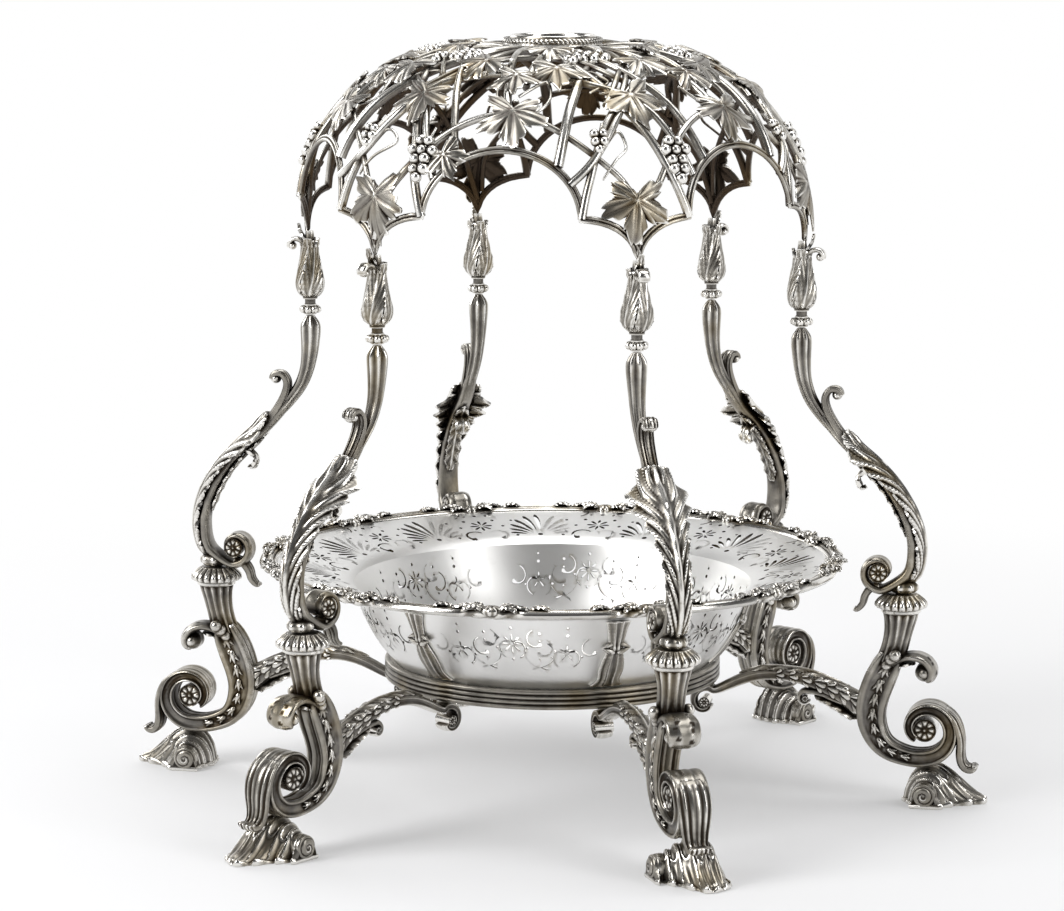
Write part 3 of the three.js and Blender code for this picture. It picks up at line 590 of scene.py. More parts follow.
def leg_shade(p, normal):
    """Blackens the drilled spots, and the flutes down the front of the lap."""
    if any((p - Vector(place)).length < DRILL_R for place in drilled):
        return 0.8
    if p.x > LAP_FROM and p.z < LAP_TOP and normal.x > 0.2:
        half = min(LAP_WIDE, LAP_NARROW + LAP_SPREAD * max(0, p.z - LAP_LOW))
        return 0.55 * abs(cos(2.5 * pi * p.y / half)) ** 3 - 0.12
    return 0


darken_hollows(leg, extra=leg_shade)
finish_piece(leg, cast_silver)
set_round(leg, "leg_casting", "frame", "leg")

# --- Shell feet ---
# Each leg stands on a cast snail shell of silver, soldered under its volute: it lies on its side, with
# its spire to one side and a wavy lip on the table. Half of the six are mirror images of the others.
WHORLS = [-0.5, 0.03, 0.13, 0.25, 0.39, 0.55, 0.72, 0.9, 1.6]  # where the whorls meet, as shares of its width
FRONT_OUT, STAND_HALF = 273.8, 240.6  # how far the stand reaches along a leg, and across
SHELL_SIDE, SHELL_WIDE, SHELL_TOP, SHELL_EDGE = 19.5, 40, 23.9, 20.9
HEM = 38  # how close the waves of the hem follow one another
SPIRE_X, SPIRE_Y, SPIRE_Z, SPIRE_R, SPIRE_TURNS = 236, 14.6, 7.8, 7.6, 5.2


def front_limit(y):
    """How far out the shell may reach: its far corner keeps within the round of the stand."""
    return min(FRONT_OUT, (STAND_HALF + min(0, y) / 2) / sin(radians(TURN)))


def shell_point(share, turn):
    """A point of the shell's back, from its spire side to its far side and from its front on the
    table over to its back."""
    grown = share * share * (3 - 2 * share)
    closing = sqrt(max(0, 1 - (max(0, share - 0.7) / 0.3) ** 2))
    wound = share + 0.07 * cos(turn)
    whorl = next(i for i in range(len(WHORLS) - 1) if wound < WHORLS[i + 1])
    within = (wound - WHORLS[whorl]) / (WHORLS[whorl + 1] - WHORLS[whorl])
    bulge = 1.3 * within ** 1.4 - 1.3 + 0.8 * bump(within - 0.84, 0.12)
    c = cos(turn)
    if 2 <= whorl <= 6:
        loop = hypot((within - 0.4) / 0.27, max(0, c - 0.3 - 0.05 * (whorl % 2)) / 0.14)
        bulge += bump(loop - 1, 0.27) - 0.5 * bump(loop, 0.62)
    centre, high = 236.5 + 3 * share, min(23.8, 12.5 + 21 * share) * (0.1 + 0.9 * closing)
    if c > 0:
        far = (7.5 + 30 * min(1, grown * 1.7)) * (0.45 + 0.55 * closing)
        low = 0.5 + 0.5 * cos(pi * c)
        flare = min(1, share * 1.8)
        z = high * (flare * low ** 0.85 + (1 - flare) * sqrt(1 - c * c))
        z = (z ** 3 + (0.21 * high * flare * sqrt(1 - c ** 8)) ** 3) ** (1 / 3)
        x = centre + (far + c ** 3 * 1.4 * sin(share * HEM)) * c
        bulge = bulge * (1 - 0.55 * c * c) + 1.2 * c ** 2 * sin(share * HEM)
    else:
        x = centre + 15.5 * (0.6 + 0.4 * closing) * c * (0.5 + 0.5 * min(1, grown * 2.4))
        z = high * (1 - c * c) ** 0.45
    span = max(4, hypot(x - centre, z - 3))
    x, z = x + bulge * (x - centre) / span, z + bulge * (z - 3) / span
    rib = 1.3 * (1 - abs(cos(6.5 * turn))) ** 1.5 * max(0, min(1, (share - 0.8) / 0.1))
    rib *= min(1, (1.06 - share) * 6)
    y = SHELL_SIDE - SHELL_WIDE * share + rib
    over = x - front_limit(y) + 5.4
    if over > 0:
        x = front_limit(y) - 1.4 - 4 * exp(-over / 4)
    return x, y, min(max(z, 0), SHELL_TOP)


shell = lay_sheet(90, 124, lambda along, across: shell_point((1 - across) / 2, along * pi))
bpy.ops.object.mode_set(mode="EDIT")
bpy.ops.mesh.select_all(action="DESELECT")
bpy.ops.mesh.select_non_manifold()
bpy.ops.mesh.edge_face_add()
face_out()


def spire_point(p):
    """Winds a groove from the tip of the spire out to its rim."""
    polar, turn = acos(max(-1, min(1, p.y))), atan2(p.z, p.x)
    front = cos(polar)
    wound = polar / pi * SPIRE_TURNS - turn / tau
    ridge = abs(sin(pi * wound)) ** 0.6 if polar > 0.1 else 0.5
    r = SPIRE_R * sin(polar) ** 0.75 * (1 + 0.05 * ridge)
    y = SPIRE_Y + 6 * copysign(abs(front) ** 0.6, front) + 0.9 * (ridge - 0.7) * max(0, front) ** 0.3
    return SPIRE_X + r * cos(turn), min(SHELL_EDGE, y), max(0, SPIRE_Z + r * sin(turn))


spire = move_points(ball(56, 44, tilt=(pi / 2, 0, 0)), spire_point)
face_out()

begin()
bpy.ops.mesh.primitive_torus_add(major_radius=MM, minor_radius=0.1 * MM, major_segments=160, minor_segments=8)
lip = bpy.context.object


def lip_point(p):
    """Lays a round cord along the shell's foot, as its torn and rolled lip."""
    turn, out, up = atan2(p.y, p.x), hypot(p.x, p.y) - 1, p.z
    ahead = cos(turn) > 0
    share = 0.5 - 0.49 * sin(turn)
    x, y, z = shell_point(share, 0.12 if ahead else pi - 0.1)
    x += (13 if ahead and share < 0.97 else -13) * out
    y += out * 9 * sin(turn)
    lobe = 1.25 + 0.5 * sin(share * HEM) * max(0, cos(turn)) ** 0.5
    return min(x, front_limit(y)), max(-SHELL_EDGE, min(SHELL_EDGE, y)), max(0, (1.2 + 12 * up) * lobe)


move_points(lip, lip_point)
shell = join("shell", [shell, spire, lip])
darken_hollows(shell, reach=3.5, strength=1.35, ground=0.35, rubbed=2.4,
               extra=lambda p, n: 0.16 if p.y > SPIRE_Y and n.y > 0.4 else 0)
finish_piece(shell, cast_silver, 50)
set_round(shell, "snail_shell", "frame", "shell_foot", mirrored=(0, 1, 5))

# --- Socket caps ---
# A collar of silver, cast with twenty bold gadroons and a plain rim, is soldered on each socket. The
# pin of the upright above drops through it.
GADROONS, GADROON_DEPTH, POINTS = 20, 0.115, 120
gadroons = []
for j in range(POINTS):
    turn = j / POINTS * tau
    r = 1 - GADROON_DEPTH + GADROON_DEPTH * abs(sin(GADROONS * turn / 2)) ** 0.8
    gadroons.append((r * cos(turn), r * sin(turn)))
collar = draw_out([[SOCKET_X, z, r, r] for z, r in (
    (121.6, 12.4), (121.7, 14.2), (122.5, 15.9), (123.9, 16.45), (125.4, 16.1), (127.2, 14.6), (128.8, 12.4),
    (129.9, 10.9), (130.4, 10.2))], gadroons)
rim = draw_out([[SOCKET_X, z, r, r] for z, r in ((121.5, 13), (121.6, 13.6), (122.2, 13.8), (122.8, 13))],
               oval(40))
cap = join("cap", [collar, rim])
darken_hollows(cap, reach=5, strength=1.9)
finish_piece(cap, cast_silver, 60)
set_round(cap, "gadrooned_collar", "frame", "socket_cap")

# --- Arms ---
# From each leg a reeded arm of cast silver rises out of a leaf, runs in under the ring that it carries,
# and ends in a curl with a small rosette. A second little scroll springs from its underside.
ARM_EYE_X, ARM_EYE_Z, HOOK_EYE_X, HOOK_EYE_Z = 97.5, 57.6, 160.4, 62.4
LEAF_SEAT, LEG_FACE = 1.3, 196.2  # how far the leaf sinks into the arm, and where the leg's side is
reeded = [(a * (1 - 0.26 * abs(cos(1.5 * pi * b)) ** 2), b * (1 - 0.3 * bump(a, 0.3)))
          for a, b in oval(32, 3.2)]
arm_bar = draw_out(through(
    [[196, 57.5, 8.8, 5.4], [188, 63.4, 7.4, 5.5], [180, 67.6, 6.2, 5.5], [172, 71, 5.4, 5.5],
     [161, 74.6, 4.7, 5.5], [150, 76.4, 4.2, 5.5], [139, 76.9, 4, 5.5], [128, 75.3, 3.8, 5.5],
     [117, 71.2, 3.6, 5.5]] + spiral(ARM_EYE_X, ARM_EYE_Z, (9.9, 4), (47, 330), (3, 1.7), (5.4, 5.4), 13), 2),
    reeded)
arm_eye = rosette(ARM_EYE_X, ARM_EYE_Z, 3.4, 5.9, proud=0.6)
hook = draw_out(through(
    [[190, 60, 3.6, 3.6], [180, 62.5, 3, 3.9], [169, 66.5, 2.4, 4.1]]
    + spiral(HOOK_EYE_X, HOOK_EYE_Z, (5, 2.4), (62, 330), (2, 1.1), (4.2, 4.4), 9), 2), oval(16, 2.6))
hook_eye = rosette(HOOK_EYE_X, HOOK_EYE_Z, 2.3, 4.7, proud=0.5)
arm_leaf = leaf([[119, 77.6], [134, 81.6], [149, 81.8], [163, 80], [176, 75.6], [187, 70.5],
                 [194.5, 65.5]][::-1], lambda u: 7.6 - 4.4 * u, 7, notch=0.5, puff=1.2, ridge=1.4, curl=-1.8,
                thick=1.2, cells=60, tip=0.2, root=0.7, teeth=0.12)
arm_leaf.data.transform(Matrix.Translation((0, 0, -LEAF_SEAT * MM)))
drops = []
drop_line = through([[193, 61], [184, 66.6], [174, 70.6], [163, 74], [152, 76.2], [142, 77]], 8)
drop_ways = headings(drop_line)
for side in (-1, 1):
    for i in range(1, 40, 6):
        (x, z), way = drop_line[i], drop_ways[i]
        size = 1.15 - 0.013 * i
        drops.append(leaflet(x, z, way, side, 3.9, 4.4 * size, 2.1 * size, 2.1))
        for lift, splay in ((3.4, 0.5), (-3.2, -0.5)):
            drops.append(leaflet(x - 1, z + lift * size, way + splay, side, 4.1, 3.4 * size, 1.4 * size, 1.7))
under_leaf = leaf([[193, 50.5], [184, 56], [175, 61], [166.5, 65]], lambda u: 5.8 - 2 * u, 4,
                  notch=0.4, puff=0.7, ridge=0.9, curl=-2.4, thick=1.6)
smooth(arm_bar, hook)
arm = join("arm", [arm_bar, arm_eye, hook, hook_eye, arm_leaf, under_leaf, *drops])
move_points(arm, lambda p: (min(p.x, LEG_FACE), p.y, p.z))
# Painted light and shade by facing: faces that look down are painted lighter, the rest darker.
darken_hollows(arm, reach=5, strength=1.5, extra=lambda p, n: 0.1 if n.z > -0.3 else -0.25)
finish_piece(arm, cast_silver)
set_round(arm, "reeded_arm", "frame", "arm")

# --- Ring ---
# The six arms carry a ring of silver, cast and turned with four reeds outside. They are soldered under
# it, and inside it has a sloping seat that the bowl lies in.
RING_OUT, RING_IN, RING_LOW, RING_TOP, REED_R, REEDS = 105, 91.5, 70.5, 82.5, 1.5, 4


def turn_round(name, outline, steps):
    """Spins a closed outline of radius, height pairs round the stand's axis."""
    piece = ring_of([(r, 0, z) for r, z in outline], "NOTHING")
    piece.name = name
    bpy.ops.object.mode_set(mode="EDIT")
    bpy.ops.mesh.select_all(action="SELECT")
    bpy.ops.mesh.spin(steps=steps, angle=tau, center=(0, 0, 0), axis=(0, 0, 1))
    bpy.ops.mesh.select_all(action="SELECT")
    bpy.ops.mesh.remove_doubles(threshold=0.0001 * MM)
    face_out()
    return piece


reeds = []
for i in range(REEDS):
    middle = RING_LOW + REED_R * (1 + 2 * i)
    for angle in (-72, -45, -15, 15, 45, 72):
        turn = radians(angle)
        reeds.append((RING_OUT - REED_R + REED_R * cos(turn), middle + REED_R * sin(turn)))
ring = turn_round("ring", [(RING_IN, RING_LOW), (RING_OUT - 2 * REED_R, RING_LOW)] + reeds
                  + [(RING_OUT - 2 * REED_R, RING_TOP), (100.4, RING_TOP), (RING_IN, 75.9)], 180)
darken_hollows(ring, reach=3, strength=2.2, extra=lambda p, n: 0.1)
finish_piece(ring, cast_silver, 50)
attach(ring, "frame")
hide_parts("support_ring")

# --- Bowl ---
# The wide dish is raised from sheet silver and lies loose in the ring. Its flange and upper wall are
# sawn through with fans, flowers, scrolls and dots.
FLOOR_Z, FLOOR_DROP, SEAT_IN, SEAT_OUT, SEAT_Z = 75.3, 4, 90, 98, 81.3
MOUTH_R, MOUTH_Z, FLANGE_R, FLANGE_Z, WALL = 125, 129.3, 172, 142.8, 1.5
FOLDS, SIDES = 12, 216  # the flange's pattern repeats twelve times, and the dish is drawn with so many sides
FLANGE_CUT, WALL_CUT = (120, 160), (0, 40)  # how high the saw paths for flange and wall reach, in mm
floor_z = FLOOR_Z - FLOOR_DROP
wall_line = through([[SEAT_OUT, SEAT_Z, 0, 0], [106.5, 90.5, 0, 0], [113.4, 101, 0, 0], [118.6, 111.5, 0, 0],
                     [122.2, 121, 0, 0], [MOUTH_R, MOUTH_Z, 0, 0]], 3)
outer = [(1.5, floor_z), (30, floor_z), (60, floor_z), (78, floor_z), (84, FLOOR_Z - 2.6), (SEAT_IN, FLOOR_Z),
         (94, 78.2)]
outer += [(r, z) for r, z, _, _ in wall_line]
outer += [(128.5, 131.6), (134, 133.4), (142, 135.4), (150, 137.3), (158, 139.4), (165, 141.1),
          (FLANGE_R, FLANGE_Z)]
inner = []
for i, (r, z) in enumerate(outer):
    (r0, z0), (r1, z1) = outer[max(0, i - 1)], outer[min(len(outer) - 1, i + 1)]
    long = hypot(r1 - r0, z1 - z0)
    inner.append((max(1.5, r - WALL * (z1 - z0) / long), z + WALL * (r1 - r0) / long))
begin()
bpy.ops.mesh.primitive_circle_add(vertices=SIDES, radius=outer[0][0] * MM, fill_type="NGON",
                                  location=(0, 0, floor_z * MM))
bowl = bpy.context.object
bowl.name = "bowl_dish"
bpy.ops.object.transform_apply(location=True)
bpy.ops.object.mode_set(mode="EDIT")
bpy.ops.mesh.select_all(action="SELECT")
levels = outer + inner[::-1]
for (r0, z0), (r1, z1) in zip(levels, levels[1:]):
    bpy.ops.mesh.extrude_region_move(TRANSFORM_OT_translate={"value": (0, 0, (z1 - z0) * MM)})
    bpy.ops.transform.resize(value=(r1 / r0, r1 / r0, 1), center_override=(0, 0, z1 * MM))
face_out()


def cutter(outline, cut):
    """An upright saw path: a flat outline in mm, drawn up between two heights."""
    low, high = cut
    path = ring_of([(x, y, low) for x, y in outline])
    bpy.ops.object.mode_set(mode="EDIT")
    bpy.ops.mesh.select_all(action="SELECT")
    bpy.ops.mesh.extrude_region_move(TRANSFORM_OT_translate={"value": (0, 0, (high - low) * MM)})
    face_out()
    return path


def drop(length, width, bend=0.0):
    """A tapered slot's outline from its narrow end at the origin, bent to one side."""
    ring = []
    for j in range(14):
        turn = j / 14 * tau
        u = (1 - cos(turn)) / 2
        ring.append((length * u, bend * length * u * u + sin(turn) * width / 2 * (0.35 + 0.65 * u)))
    return ring


def curl_slot(reach, sweep, width, steps=14):
    """A slot's outline that curls round from a fine point to a round end."""
    far, near = [], []
    for i in range(steps + 1):
        u = i / steps
        turn, r = radians(sweep * u), reach * (1 - 0.45 * u)
        half = width * (0.22 + 0.28 * u + 0.55 * bump(u - 0.93, 0.1)) * (1 if i < steps else 0.4)
        for line, out in ((far, half), (near, -half)):
            line.append(((r + out) * cos(turn) - reach, (r + out) * sin(turn)))
    return far + near[::-1]


def disc(radius, count):
    """The outline of a round hole."""
    return [(radius * a, radius * b) for a, b in oval(count)]


def shifted(x, y=0.0):
    """A move of so many mm in a saw path's own plane."""
    return Matrix.Translation((x * MM, y * MM, 0))


def turned(angle, size=1.0):
    """A turn by degrees in a saw path's own plane, after a change of size."""
    return Matrix.Rotation(radians(angle), 4, "Z") @ Matrix.Diagonal((size, size, 1, 1))


def on_flange(angle, r):
    """The place on the flange at an angle in degrees and a radius."""
    return spun(angle) @ shifted(r)


def on_wall(angle, z):
    """The place on the wall at an angle in degrees and a height, seen from outside."""
    return spun(angle) @ Matrix.Translation((100 * MM, 0, z * MM)) @ Matrix.Rotation(radians(90), 4, "Y")


saw_paths = []


def saw(shape, place):
    """Sets a copy of a saw path in its place."""
    saw_paths.append(copy_of(shape, place))


SIDE = {1: Matrix(), -1: TWIN}  # a shape as it is, and as its twin on the other side
slot, petal = cutter(drop(24, 4.6, 0.1), FLANGE_CUT), cutter(drop(6.2, 2.6), FLANGE_CUT)
curl, dot = cutter(curl_slot(7.5, 230, 2.2), FLANGE_CUT), cutter(disc(1.15, 10), FLANGE_CUT)
for k in range(FOLDS):
    flower = k * 360 / FOLDS
    fan = flower + 180 / FOLDS
    for j in range(-5, 6):
        size = (1, 0.96, 0.85, 0.7, 0.56, 0.45)[abs(j)]
        slim = Matrix.Diagonal((size, 0.55 + 0.45 * size, 1, 1))
        saw(slot, on_flange(fan, 132.5) @ turned(j * 14.5) @ shifted(9) @ slim @ SIDE[-1 if j < 0 else 1])
    saw(dot, on_flange(fan, 134.5) @ turned(0, 1.5))
    for j in range(8):
        saw(petal, on_flange(flower, 150) @ turned(j * 45) @ shifted(1.3))
    for side in (-1, 1):
        for off, r, angle in ((1.2, 139.5, -50), (5, 163.5, -165)):
            saw(curl, on_flange(flower + side * off, r) @ SIDE[side] @ turned(angle))
        for off, r, size in ((3.6, 158, 1.1), (5.6, 149, 1), (8.2, 157, 0.9), (8.6, 134, 1),
                             (2.6, 165.5, 0.9)):
            saw(dot, on_flange(flower + side * off, r) @ turned(0, size))
    saw(dot, on_flange(flower, 166) @ turned(0, 1.2))
wall_curl, wall_petal = cutter(curl_slot(6.6, 215, 1.4), WALL_CUT), cutter(drop(5.2, 1.6), WALL_CUT)
wall_dot, wall_stem = cutter(disc(0.85, 8), WALL_CUT), cutter(curl_slot(15, 70, 0.8), WALL_CUT)
for k in range(6):
    for off, petals, z, size in ((14, 5, 108, 0.8), (30, 8, 114, 1), (46, 5, 108, 0.8)):
        flower = k * TURN + off
        for j in range(petals):
            saw(wall_petal, on_wall(flower, z) @ turned(j * 360 / petals + 180, size) @ shifted(1.2))
        for side in (-1, 1):
            for away, lift, angle in ((2.2, -9, 20), (6, 9, 200)):
                saw(wall_curl, on_wall(flower + side * away, z + lift) @ SIDE[side] @ turned(angle))
            saw(wall_dot, on_wall(flower + side * 4.4, z - 2.5))
    for off in (22, 38):
        for side in (-1, 1):
            saw(wall_stem, on_wall(k * TURN + off, 98.6) @ SIDE[side] @ shifted(0, 1.2))
            saw(wall_petal, on_wall(k * TURN + off, 98.6) @ SIDE[side] @ turned(70))
    for off, z, size in ((22, 121, 1.2), (22, 116, 0.9), (38, 121, 1.2), (38, 116, 0.9), (30, 124.5, 1.2),
                         (30, 104, 1), (22, 104.5, 0.8), (38, 104.5, 0.8), (14, 119.5, 1.3), (46, 119.5, 1.3),
                         (14, 124.5, 0.9), (46, 124.5, 0.9)):
        saw(wall_dot, on_wall(k * TURN + off, z) @ turned(0, size))
piercings = join("piercings", saw_paths)
for shape in (slot, petal, curl, dot, wall_curl, wall_petal, wall_dot, wall_stem):
    bpy.data.objects.remove(shape)
begin()
modify(bowl, "BOOLEAN", operation="DIFFERENCE", solver="MANIFOLD", object=piercings)
bpy.data.objects.remove(piercings)
darken_hollows(bowl, reach=1.6, strength=1, ground=0.06, rubbed=0)
SAWN_SHADE, SAWN_FROM = 0.75, 92  # how dark a sawn edge is, and the height from which there are any
# The walls of the piercings get painted shade, so that the holes read dark.
sawn_edge_shade = bowl.data.attributes.new("sawn_edge_shade", "FLOAT", "FACE")
for face in bowl.data.polygons:
    (x, y, z), normal = face.center / MM, face.normal
    r = hypot(x, y)
    steep = abs(normal.z) if r > MOUTH_R + 2 else abs(x * normal.x + y * normal.y) / r
    sawn_edge_shade.data[face.index].value = SAWN_SHADE if steep < 0.3 and z > SAWN_FROM and r < FLANGE_R - 1 else 0
sheet_silver = silver("sheet_silver", (0.92, 0.915, 0.9), (0.07, 0.058, 0.046), 0.4, mottle=0.08, dents=0.14,
                      sawn_edge_shade=True)
finish_piece(bowl, sheet_silver, 28)
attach(bowl, "bowl")
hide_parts("bowl")

# --- Straps ---
# Six straps of cast silver are soldered up the bowl's wall, one over each arm. Each has a fluted pad
# below and a knot with two small leaves at its waist, and spreads again to the rim.
strap_shape = through([[0, 10.6], [0.05, 8.4], [0.13, 6.9], [0.28, 7.6], [0.42, 6.8], [0.56, 4.6], [0.63, 4],
                       [0.76, 4.8], [0.9, 6], [1, 7.4]], 6)
STRAP_LOW, STRAP_TOP, STRAP_THICK, KNOT_Z = 84.4, 128, 1.2, 111.2


def read_off(stops, value):
    """Reads a value off the straight lines between stops of (value, result)."""
    i, t = find([stop[0] for stop in stops], value)
    return stops[i - 1][1] + (stops[i][1] - stops[i - 1][1]) * t


wall = [(z, r) for r, z, _, _ in wall_line]  # how far out the bowl's wall stands at each height


def strap_point(up, v):
    """Lays a flat sheet on the wall as a strap, with three flutes up it."""
    half = next((wide for share, wide in strap_shape if share >= up), strap_shape[-1][1])
    z = STRAP_LOW + (STRAP_TOP - STRAP_LOW) * up
    out = 0.9 + 1.7 * (1 - abs(v) ** 4) * (1 - 0.55 * abs(cos(1.5 * pi * v)) ** 1.5)
    reach = read_off(wall, z) + out + 0.9 * bump(up - 0.6, 0.04)
    return reach * cos(v * half / reach), reach * sin(v * half / reach), z


strap = thicken(lay_sheet(60, 28, strap_point), STRAP_THICK)
knots = []
for side in (-1, 1):
    for tilt in (-20, 20):
        knot = leaflet(0, 0, 0, 1, 0, 4.6, 1.5, 1.3)
        spot = Vector((read_off(wall, KNOT_Z) + 2.4, side * 5, KNOT_Z + tilt * 0.08)) * MM
        knot.data.transform(Matrix.Translation(spot) @ Matrix.Rotation(radians(90 * side), 4, "Z")
                            @ Matrix.Rotation(radians(tilt), 4, "Y"))
        knots.append(knot)
strap = join("strap", [strap, *knots])
straps = join("bowl_straps", [strap] + [copy_of(strap, spun(k * TURN)) for k in range(1, 6)])
darken_hollows(straps, reach=3, strength=1.8, ground=0.42)
finish_piece(straps, cast_silver, 50)
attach(straps, "bowl")

# --- Border ---
# A cast border of silver is soldered round the flange: two reeds in twelve bracketed waves, with a
# cluster of shells and leaves wherever two waves meet.
BORDER_IN, BORDER_WIDE, BORDER_Z, WAVES = 170.5, 9.7, 143.5, 12
SCALLOP_X, SCALLOP_Z, SPRIG_Z, BUD_X, BUD_Z = 175.8, 145, 145.2, 177.6, 145.6
border = turn_round("border", [(170.5, 142.2), (173, 140.7), (176, 140.6), (178.8, 141.6), (180.2, 143.6),
                               (179.6, 145.6), (178.3, 146.3), (177.2, 145.6), (176.6, 144.8), (175.9, 145.8),
                               (174.7, 146.4), (173.6, 145.8), (173.1, 144.9), (172.2, 145.4), (171, 144.6)],
                    432)


def border_point(p):
    """Pushes the border out in twelve waves with a point between each two."""
    r, turn = hypot(p.x, p.y), atan2(p.y, p.x)
    wave, share = abs(sin(WAVES / 2 * turn)), (r - BORDER_IN) / BORDER_WIDE
    out = (3.6 * wave ** 0.6 - 2.6 * bump(wave - 0.4, 0.12) - 1.4) * share
    thick = 1 + (0.25 * sin(turn * 96) * share if wave < 0.5 else 0)
    z = BORDER_Z + (p.z - BORDER_Z) * thick + 0.8 * (wave - 0.5) * share
    return p.x * (r + out) / r, p.y * (r + out) / r, z


def scallop_point(p):
    """Ribs a ball as a small shell that fans out over the rim."""
    rib = 1 + 0.16 * abs(cos(4.5 * atan2(p.y, p.x)))
    return SCALLOP_X + 5 * p.x * rib, 5.6 * p.y * rib, SCALLOP_Z + 2.9 * p.z * rib


move_points(border, border_point)
cluster = []
for side in (-1, 1):
    for start, fan, long, r in ((3.2, 2, 20, 176.2), (6, 24, 11, 177.5), (5, -22, 10, 174.5),
                                (35, 178, 12, 174.8)):
        sprig = leaf([[0, 0], [0.3 * long, 2.4], [0.7 * long, 2.4], [long, 0.6]], lambda u: 3.5 - 1.6 * u, 4,
                     notch=0.5, puff=0.8, ridge=0.9, curl=-0.8, thick=1.3, cells=20, across=8, root=0.6)
        sprig.data.transform(Matrix.Translation(Vector((r, side * start, SPRIG_Z)) * MM)
                             @ spun(side * (90 - fan)))
        cluster.append(sprig)
    for off, size in ((6.6, 1.9), (7.9, 1.5), (9, 1.2)):
        bud = ball(12, 8, (BUD_X, 0, BUD_Z), size)
        bud.data.transform(spun(side * off))
        cluster.append(bud)
cluster = join("cluster", cluster + [move_points(ball(44, 12), scallop_point)])
clusters = [cluster] + [copy_of(cluster, spun(k * 360 / WAVES)) for k in range(1, WAVES)]
border = join("cast_border", [border, *clusters])
darken_hollows(border, reach=5, strength=1.7)
finish_piece(border, cast_silver, 50)
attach(border, "bowl")
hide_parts("bowl_border")

# --- Uprights ---
# Each upright is cast in silver in one with its pin, and stands loose in its cap: a volute with a
# rosette, a band with a tall acanthus leaf outside and a curl at its top, and a reeded shaft.
EYE_X, EYE_Z = 205, 144
PIN_R, PIN_LONG, PIN_Z = 3.5, 19.5, 121.1
PAW_X, PAW_Z, PAW_LOW = 220, 134.6, 131
band = [(a * (1 - 0.3 * cos(pi * b) ** 2 if a > 0 else 1), b) for a, b in oval(28, 3)]
stem = draw_out(through(
    spiral(EYE_X, EYE_Z, (4.2, 11.6), (-50, 288), (1.7, 2.9), (7.2, 8.2), 15)
    + [[218, 138.6, 3.2, 7.8], [223.4, 144.6, 3.4, 7.4], [225.4, 154, 3.5, 7], [224.9, 166, 3.5, 6.6],
       [220.2, 180, 3.4, 6.2], [210.8, 196, 3.3, 5.8], [198.6, 209, 3.3, 5.4], [186.3, 219.5, 3.4, 5],
       [177, 229.5, 3.4, 4.4], [171, 236.5, 3, 3.6], [165.6, 243.5, 2, 2.4]], 2), band)
shaft = draw_out(through(
    [[183, 222.6, 2.6, 3.2], [176, 230.5, 3.5, 4.2], [168, 239.6, 4, 4.4], [161.6, 248.6, 4.4, 4.6],
     [157.8, 258, 4.9, 5], [156, 267, 5.6, 5.6], [155.2, 276, 6.4, 6.4], [155, 282.5, 7, 7],
     [155, 286.5, 6.9, 6.9], [155, 289.4, 5.6, 5.6], [155, 291.6, 3.8, 3.8], [155, 292.9, 3, 3]], 3),
    fluted(7, 0.34))
volute_eye = rosette(EYE_X, EYE_Z, 6, 8.6, proud=1)
leaf_spine = [[220.5, 136.4], [228, 143], [231, 155], [230, 168.5], [224.6, 183], [214.8, 198.5],
              [202.6, 211.6], [191, 221.6], [184.4, 230.4]]
blade = ((0, 7.2), (0.2, 8), (0.4, 9.2), (0.56, 12.5), (0.7, 18.5), (0.8, 20), (0.88, 13), (1, 4))
tall_leaf = leaf(leaf_spine, lambda u: read_off(blade, u), 9, notch=0.62, slant=1.8, puff=1.6, ridge=2.4,
                 curl=-2.6, thick=1.5, cells=170, tip=0.06, root=0.9, teeth=0.07, across=30, wrap=0.42)
outer_hook = draw_out(through(
    [[186, 221, 3.2, 4.4], [177.4, 232, 3, 4.8], [171.6, 242.5, 2.7, 5], [170.2, 250.4, 2.4, 5],
     [173.4, 255.4, 2.3, 4.9], [178.4, 255.2, 2.4, 4.7], [180, 251.6, 2, 4.4]], 4), grooved)
hook_ball = move_points(ball(20, 12), lambda p: (177.6 + 3.2 * p.x, 5 * p.y, 252.4 + 3.2 * p.z))
inner_curl = leaf([[209, 196], [203, 203.5], [196, 206], [191, 201.5], [192.6, 195.6], [196, 196]],
                  lambda u: 4.8, 4, notch=0.35, puff=0.7, ridge=0.7, curl=-0.8, thick=2.2, root=0.7)
under_curl = draw_out(through([
    [206, 135.6, 2.6, 6.4], [200, 133.4, 2.6, 6], [196.4, 128.6, 2.5, 5.4], [195, 123.6, 2.3, 4.8],
    [191.6, 119.8, 1.8, 4.2], [189.4, 120.2, 1.2, 3.6]], 4), grooved)
back_leaf = leaf([[221, 166], [216, 178.5], [207, 193.5], [196, 205.5], [186, 214.5]][::-1], lambda u: 5, 7,
                 notch=0.45, puff=0.9, ridge=0.8, thick=1.2, teeth=0.1)


def paw_point(p):
    """A round pad with leafy toes under the volute's outer side."""
    turn = atan2(p.y, p.x)
    toe = 1 + 0.08 * cos(7 * turn) * cos(asin(max(-1, min(1, p.z))))
    return PAW_X + 8.6 * p.x * toe, 7.8 * p.y * toe, max(PAW_LOW, PAW_Z + 4.8 * p.z)


paw = move_points(ball(48, 20), paw_point)
begin()
bpy.ops.mesh.primitive_cylinder_add(vertices=32, radius=PIN_R * MM, depth=PIN_LONG * MM,
                                    location=(SOCKET_X * MM, 0, PIN_Z * MM))
bpy.ops.object.transform_apply(location=True)
pin = bpy.context.object
smooth(stem, outer_hook, under_curl, shaft)
upright = join("upright", [stem, shaft, volute_eye, tall_leaf, outer_hook, hook_ball, inner_curl, under_curl,
                           back_leaf, paw, pin])
darken_hollows(upright, reach=7, strength=1.6)
finish_piece(upright, cast_silver)
set_round(upright, "scrolled_upright", "canopy", "upright")

